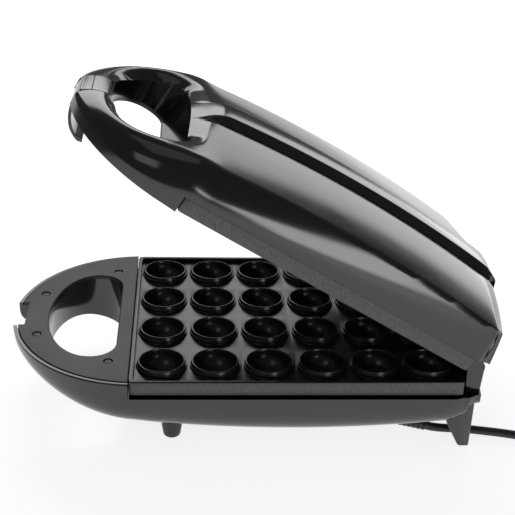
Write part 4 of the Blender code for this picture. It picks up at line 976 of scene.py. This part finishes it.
def build_latch():
    """Sprung strip over the tip of the handle, its edges rounded, with a barrel under it."""
    outer = catmull(latch_line(), 3)
    sections = []
    for x, inset in ((-LATCH_HALF, 0.45), (-LATCH_HALF + 0.15, 0.15), (-LATCH_HALF + 0.5, 0.0),
                     (LATCH_HALF - 0.5, 0.0), (LATCH_HALF - 0.15, 0.15), (LATCH_HALF, 0.45)):
        line = offset_line(outer, inset) + list(LATCH_HOOK)
        line += list(reversed(offset_line(outer, LATCH_THICK - inset)[:-2]))
        sections.append([(x, y, z) for y, z in line])
    strip = finished("latch_strip", loft(sections), Matrix(), gloss_finish, "latch",
                     ["latch"])
    pivot_y, pivot_z = LATCH_PIVOT
    over = lid_height(0.0, pivot_y) - LATCH_THICK / 2
    barrel = [(pivot_y - 3.4, over)] + arc((pivot_y, pivot_z), 3.4, 180, 360, 20)
    barrel += [(pivot_y + 3.4, over)]
    web = prism(barrel, -LATCH_HALF + 1, LATCH_HALF - 1, 'x')
    refine(carved(strip, [], [web]), OPENED)


# ---------------------------------------------------------------- feet and small parts

def build_feet():
    for side, name in ((-1, "left"), (1, "right")):
        profile = [(4.2, 0.0), (5.0, 0.2), (5.7, 0.9), (6.0, 1.9), (8.3, 17.0), (8.4, 26.5)]
        bm = turned(profile, (side * 69.0, -83.0, TABLE_HEIGHT), 40)
        finished("foot_" + name, bm, PLACED, rubber_finish, "base", ["front_foot_" + name])
        low = side * 79.0 - 5.0
        outline = [(103.0, -30.0), (104.5, -41.0), (113.0, TABLE_HEIGHT + 0.8),
                   (113.9, TABLE_HEIGHT), (120.5, TABLE_HEIGHT), (121.0, TABLE_HEIGHT + 0.6),
                   (121.5, -22.0)]
        sections = []
        for x, inset in ((low, 0.7), (low + 0.25, 0.25), (low + 0.7, 0.0), (low + 9.3, 0.0),
                         (low + 9.75, 0.25), (low + 10.0, 0.7)):
            cy = sum(p[0] for p in outline) / len(outline)
            sections.append([(x, y + inset * (1 if y < cy else -1), z) for y, z in outline])
        finished("leg_" + name, loft(sections), PLACED, gloss_finish, "base",
                 ["rear_leg_" + name])


def dress_frame():
    """Finishes for the solids that are kept as they are."""
    steel = metal("bright_steel", (0.50, 0.50, 0.51), (0.68, 0.68, 0.69), 0.30, (60.0, 900.0, 900.0))
    sheet = metal("aluminised_sheet", (0.55, 0.55, 0.56), (0.74, 0.74, 0.75), 0.40)
    element = metal("heater_sheath", (0.12, 0.11, 0.105), (0.27, 0.25, 0.235), 0.50)
    brass = metal("plug_brass", (0.62, 0.46, 0.20), (0.78, 0.62, 0.32), 0.28)
    clay, paper = ceramic(), label_paper()
    kept = {
        steel: ("hinge_pin_left", "hinge_pin_right", "latch_pin", "lower_plate_screw_1",
                "lower_plate_screw_2", "upper_plate_screw_1", "upper_plate_screw_2"),
        sheet: ("lower_reflector", "upper_reflector"),
        element: ("lower_heating_element", "upper_heating_element"),
        brass: ("plug_blade_left", "plug_blade_right"),
        clay: ("thermostat", "thermal_fuse", "terminal_block"),
        cord_finish: ("neutral_wire", "live_wire", "cord_tie"),
        paper: ("lid_sticker",),
    }
    for finish, names in kept.items():
        for name in names:
            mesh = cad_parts[name].data
            mesh.materials.clear()
            mesh.materials.append(finish)


gloss_finish, satin_finish, plate_finish = gloss_black(), satin_black(), coated_cast()
wall_finish, rubber_finish, cord_finish = cast_wall(), plain_rubber(), cord_skin()
screw_finish = metal("blackened_steel", (0.03, 0.03, 0.032), (0.16, 0.16, 0.17), 0.36)

build_camera()
build_stage()
build_cord()
build_gland()
build_plate("lower_plate_smooth", False, PLACED, "base")
build_plate("upper_plate_smooth", True, OPENED, "lid")
build_base()
build_base_cover()
build_lid()
build_lid_cover()
build_latch()
build_feet()
for number, (x, y) in enumerate(SCREWS, 1):
    screw_head(f"base_screw_{number}", x, y, -2.3, False, PLACED, "base",
               f"base_cover_screw_{number}")
    screw_head(f"lid_screw_{number}", x, y, 1.5, True, OPENED, "lid", f"lid_cover_screw_{number}")
dress_frame()
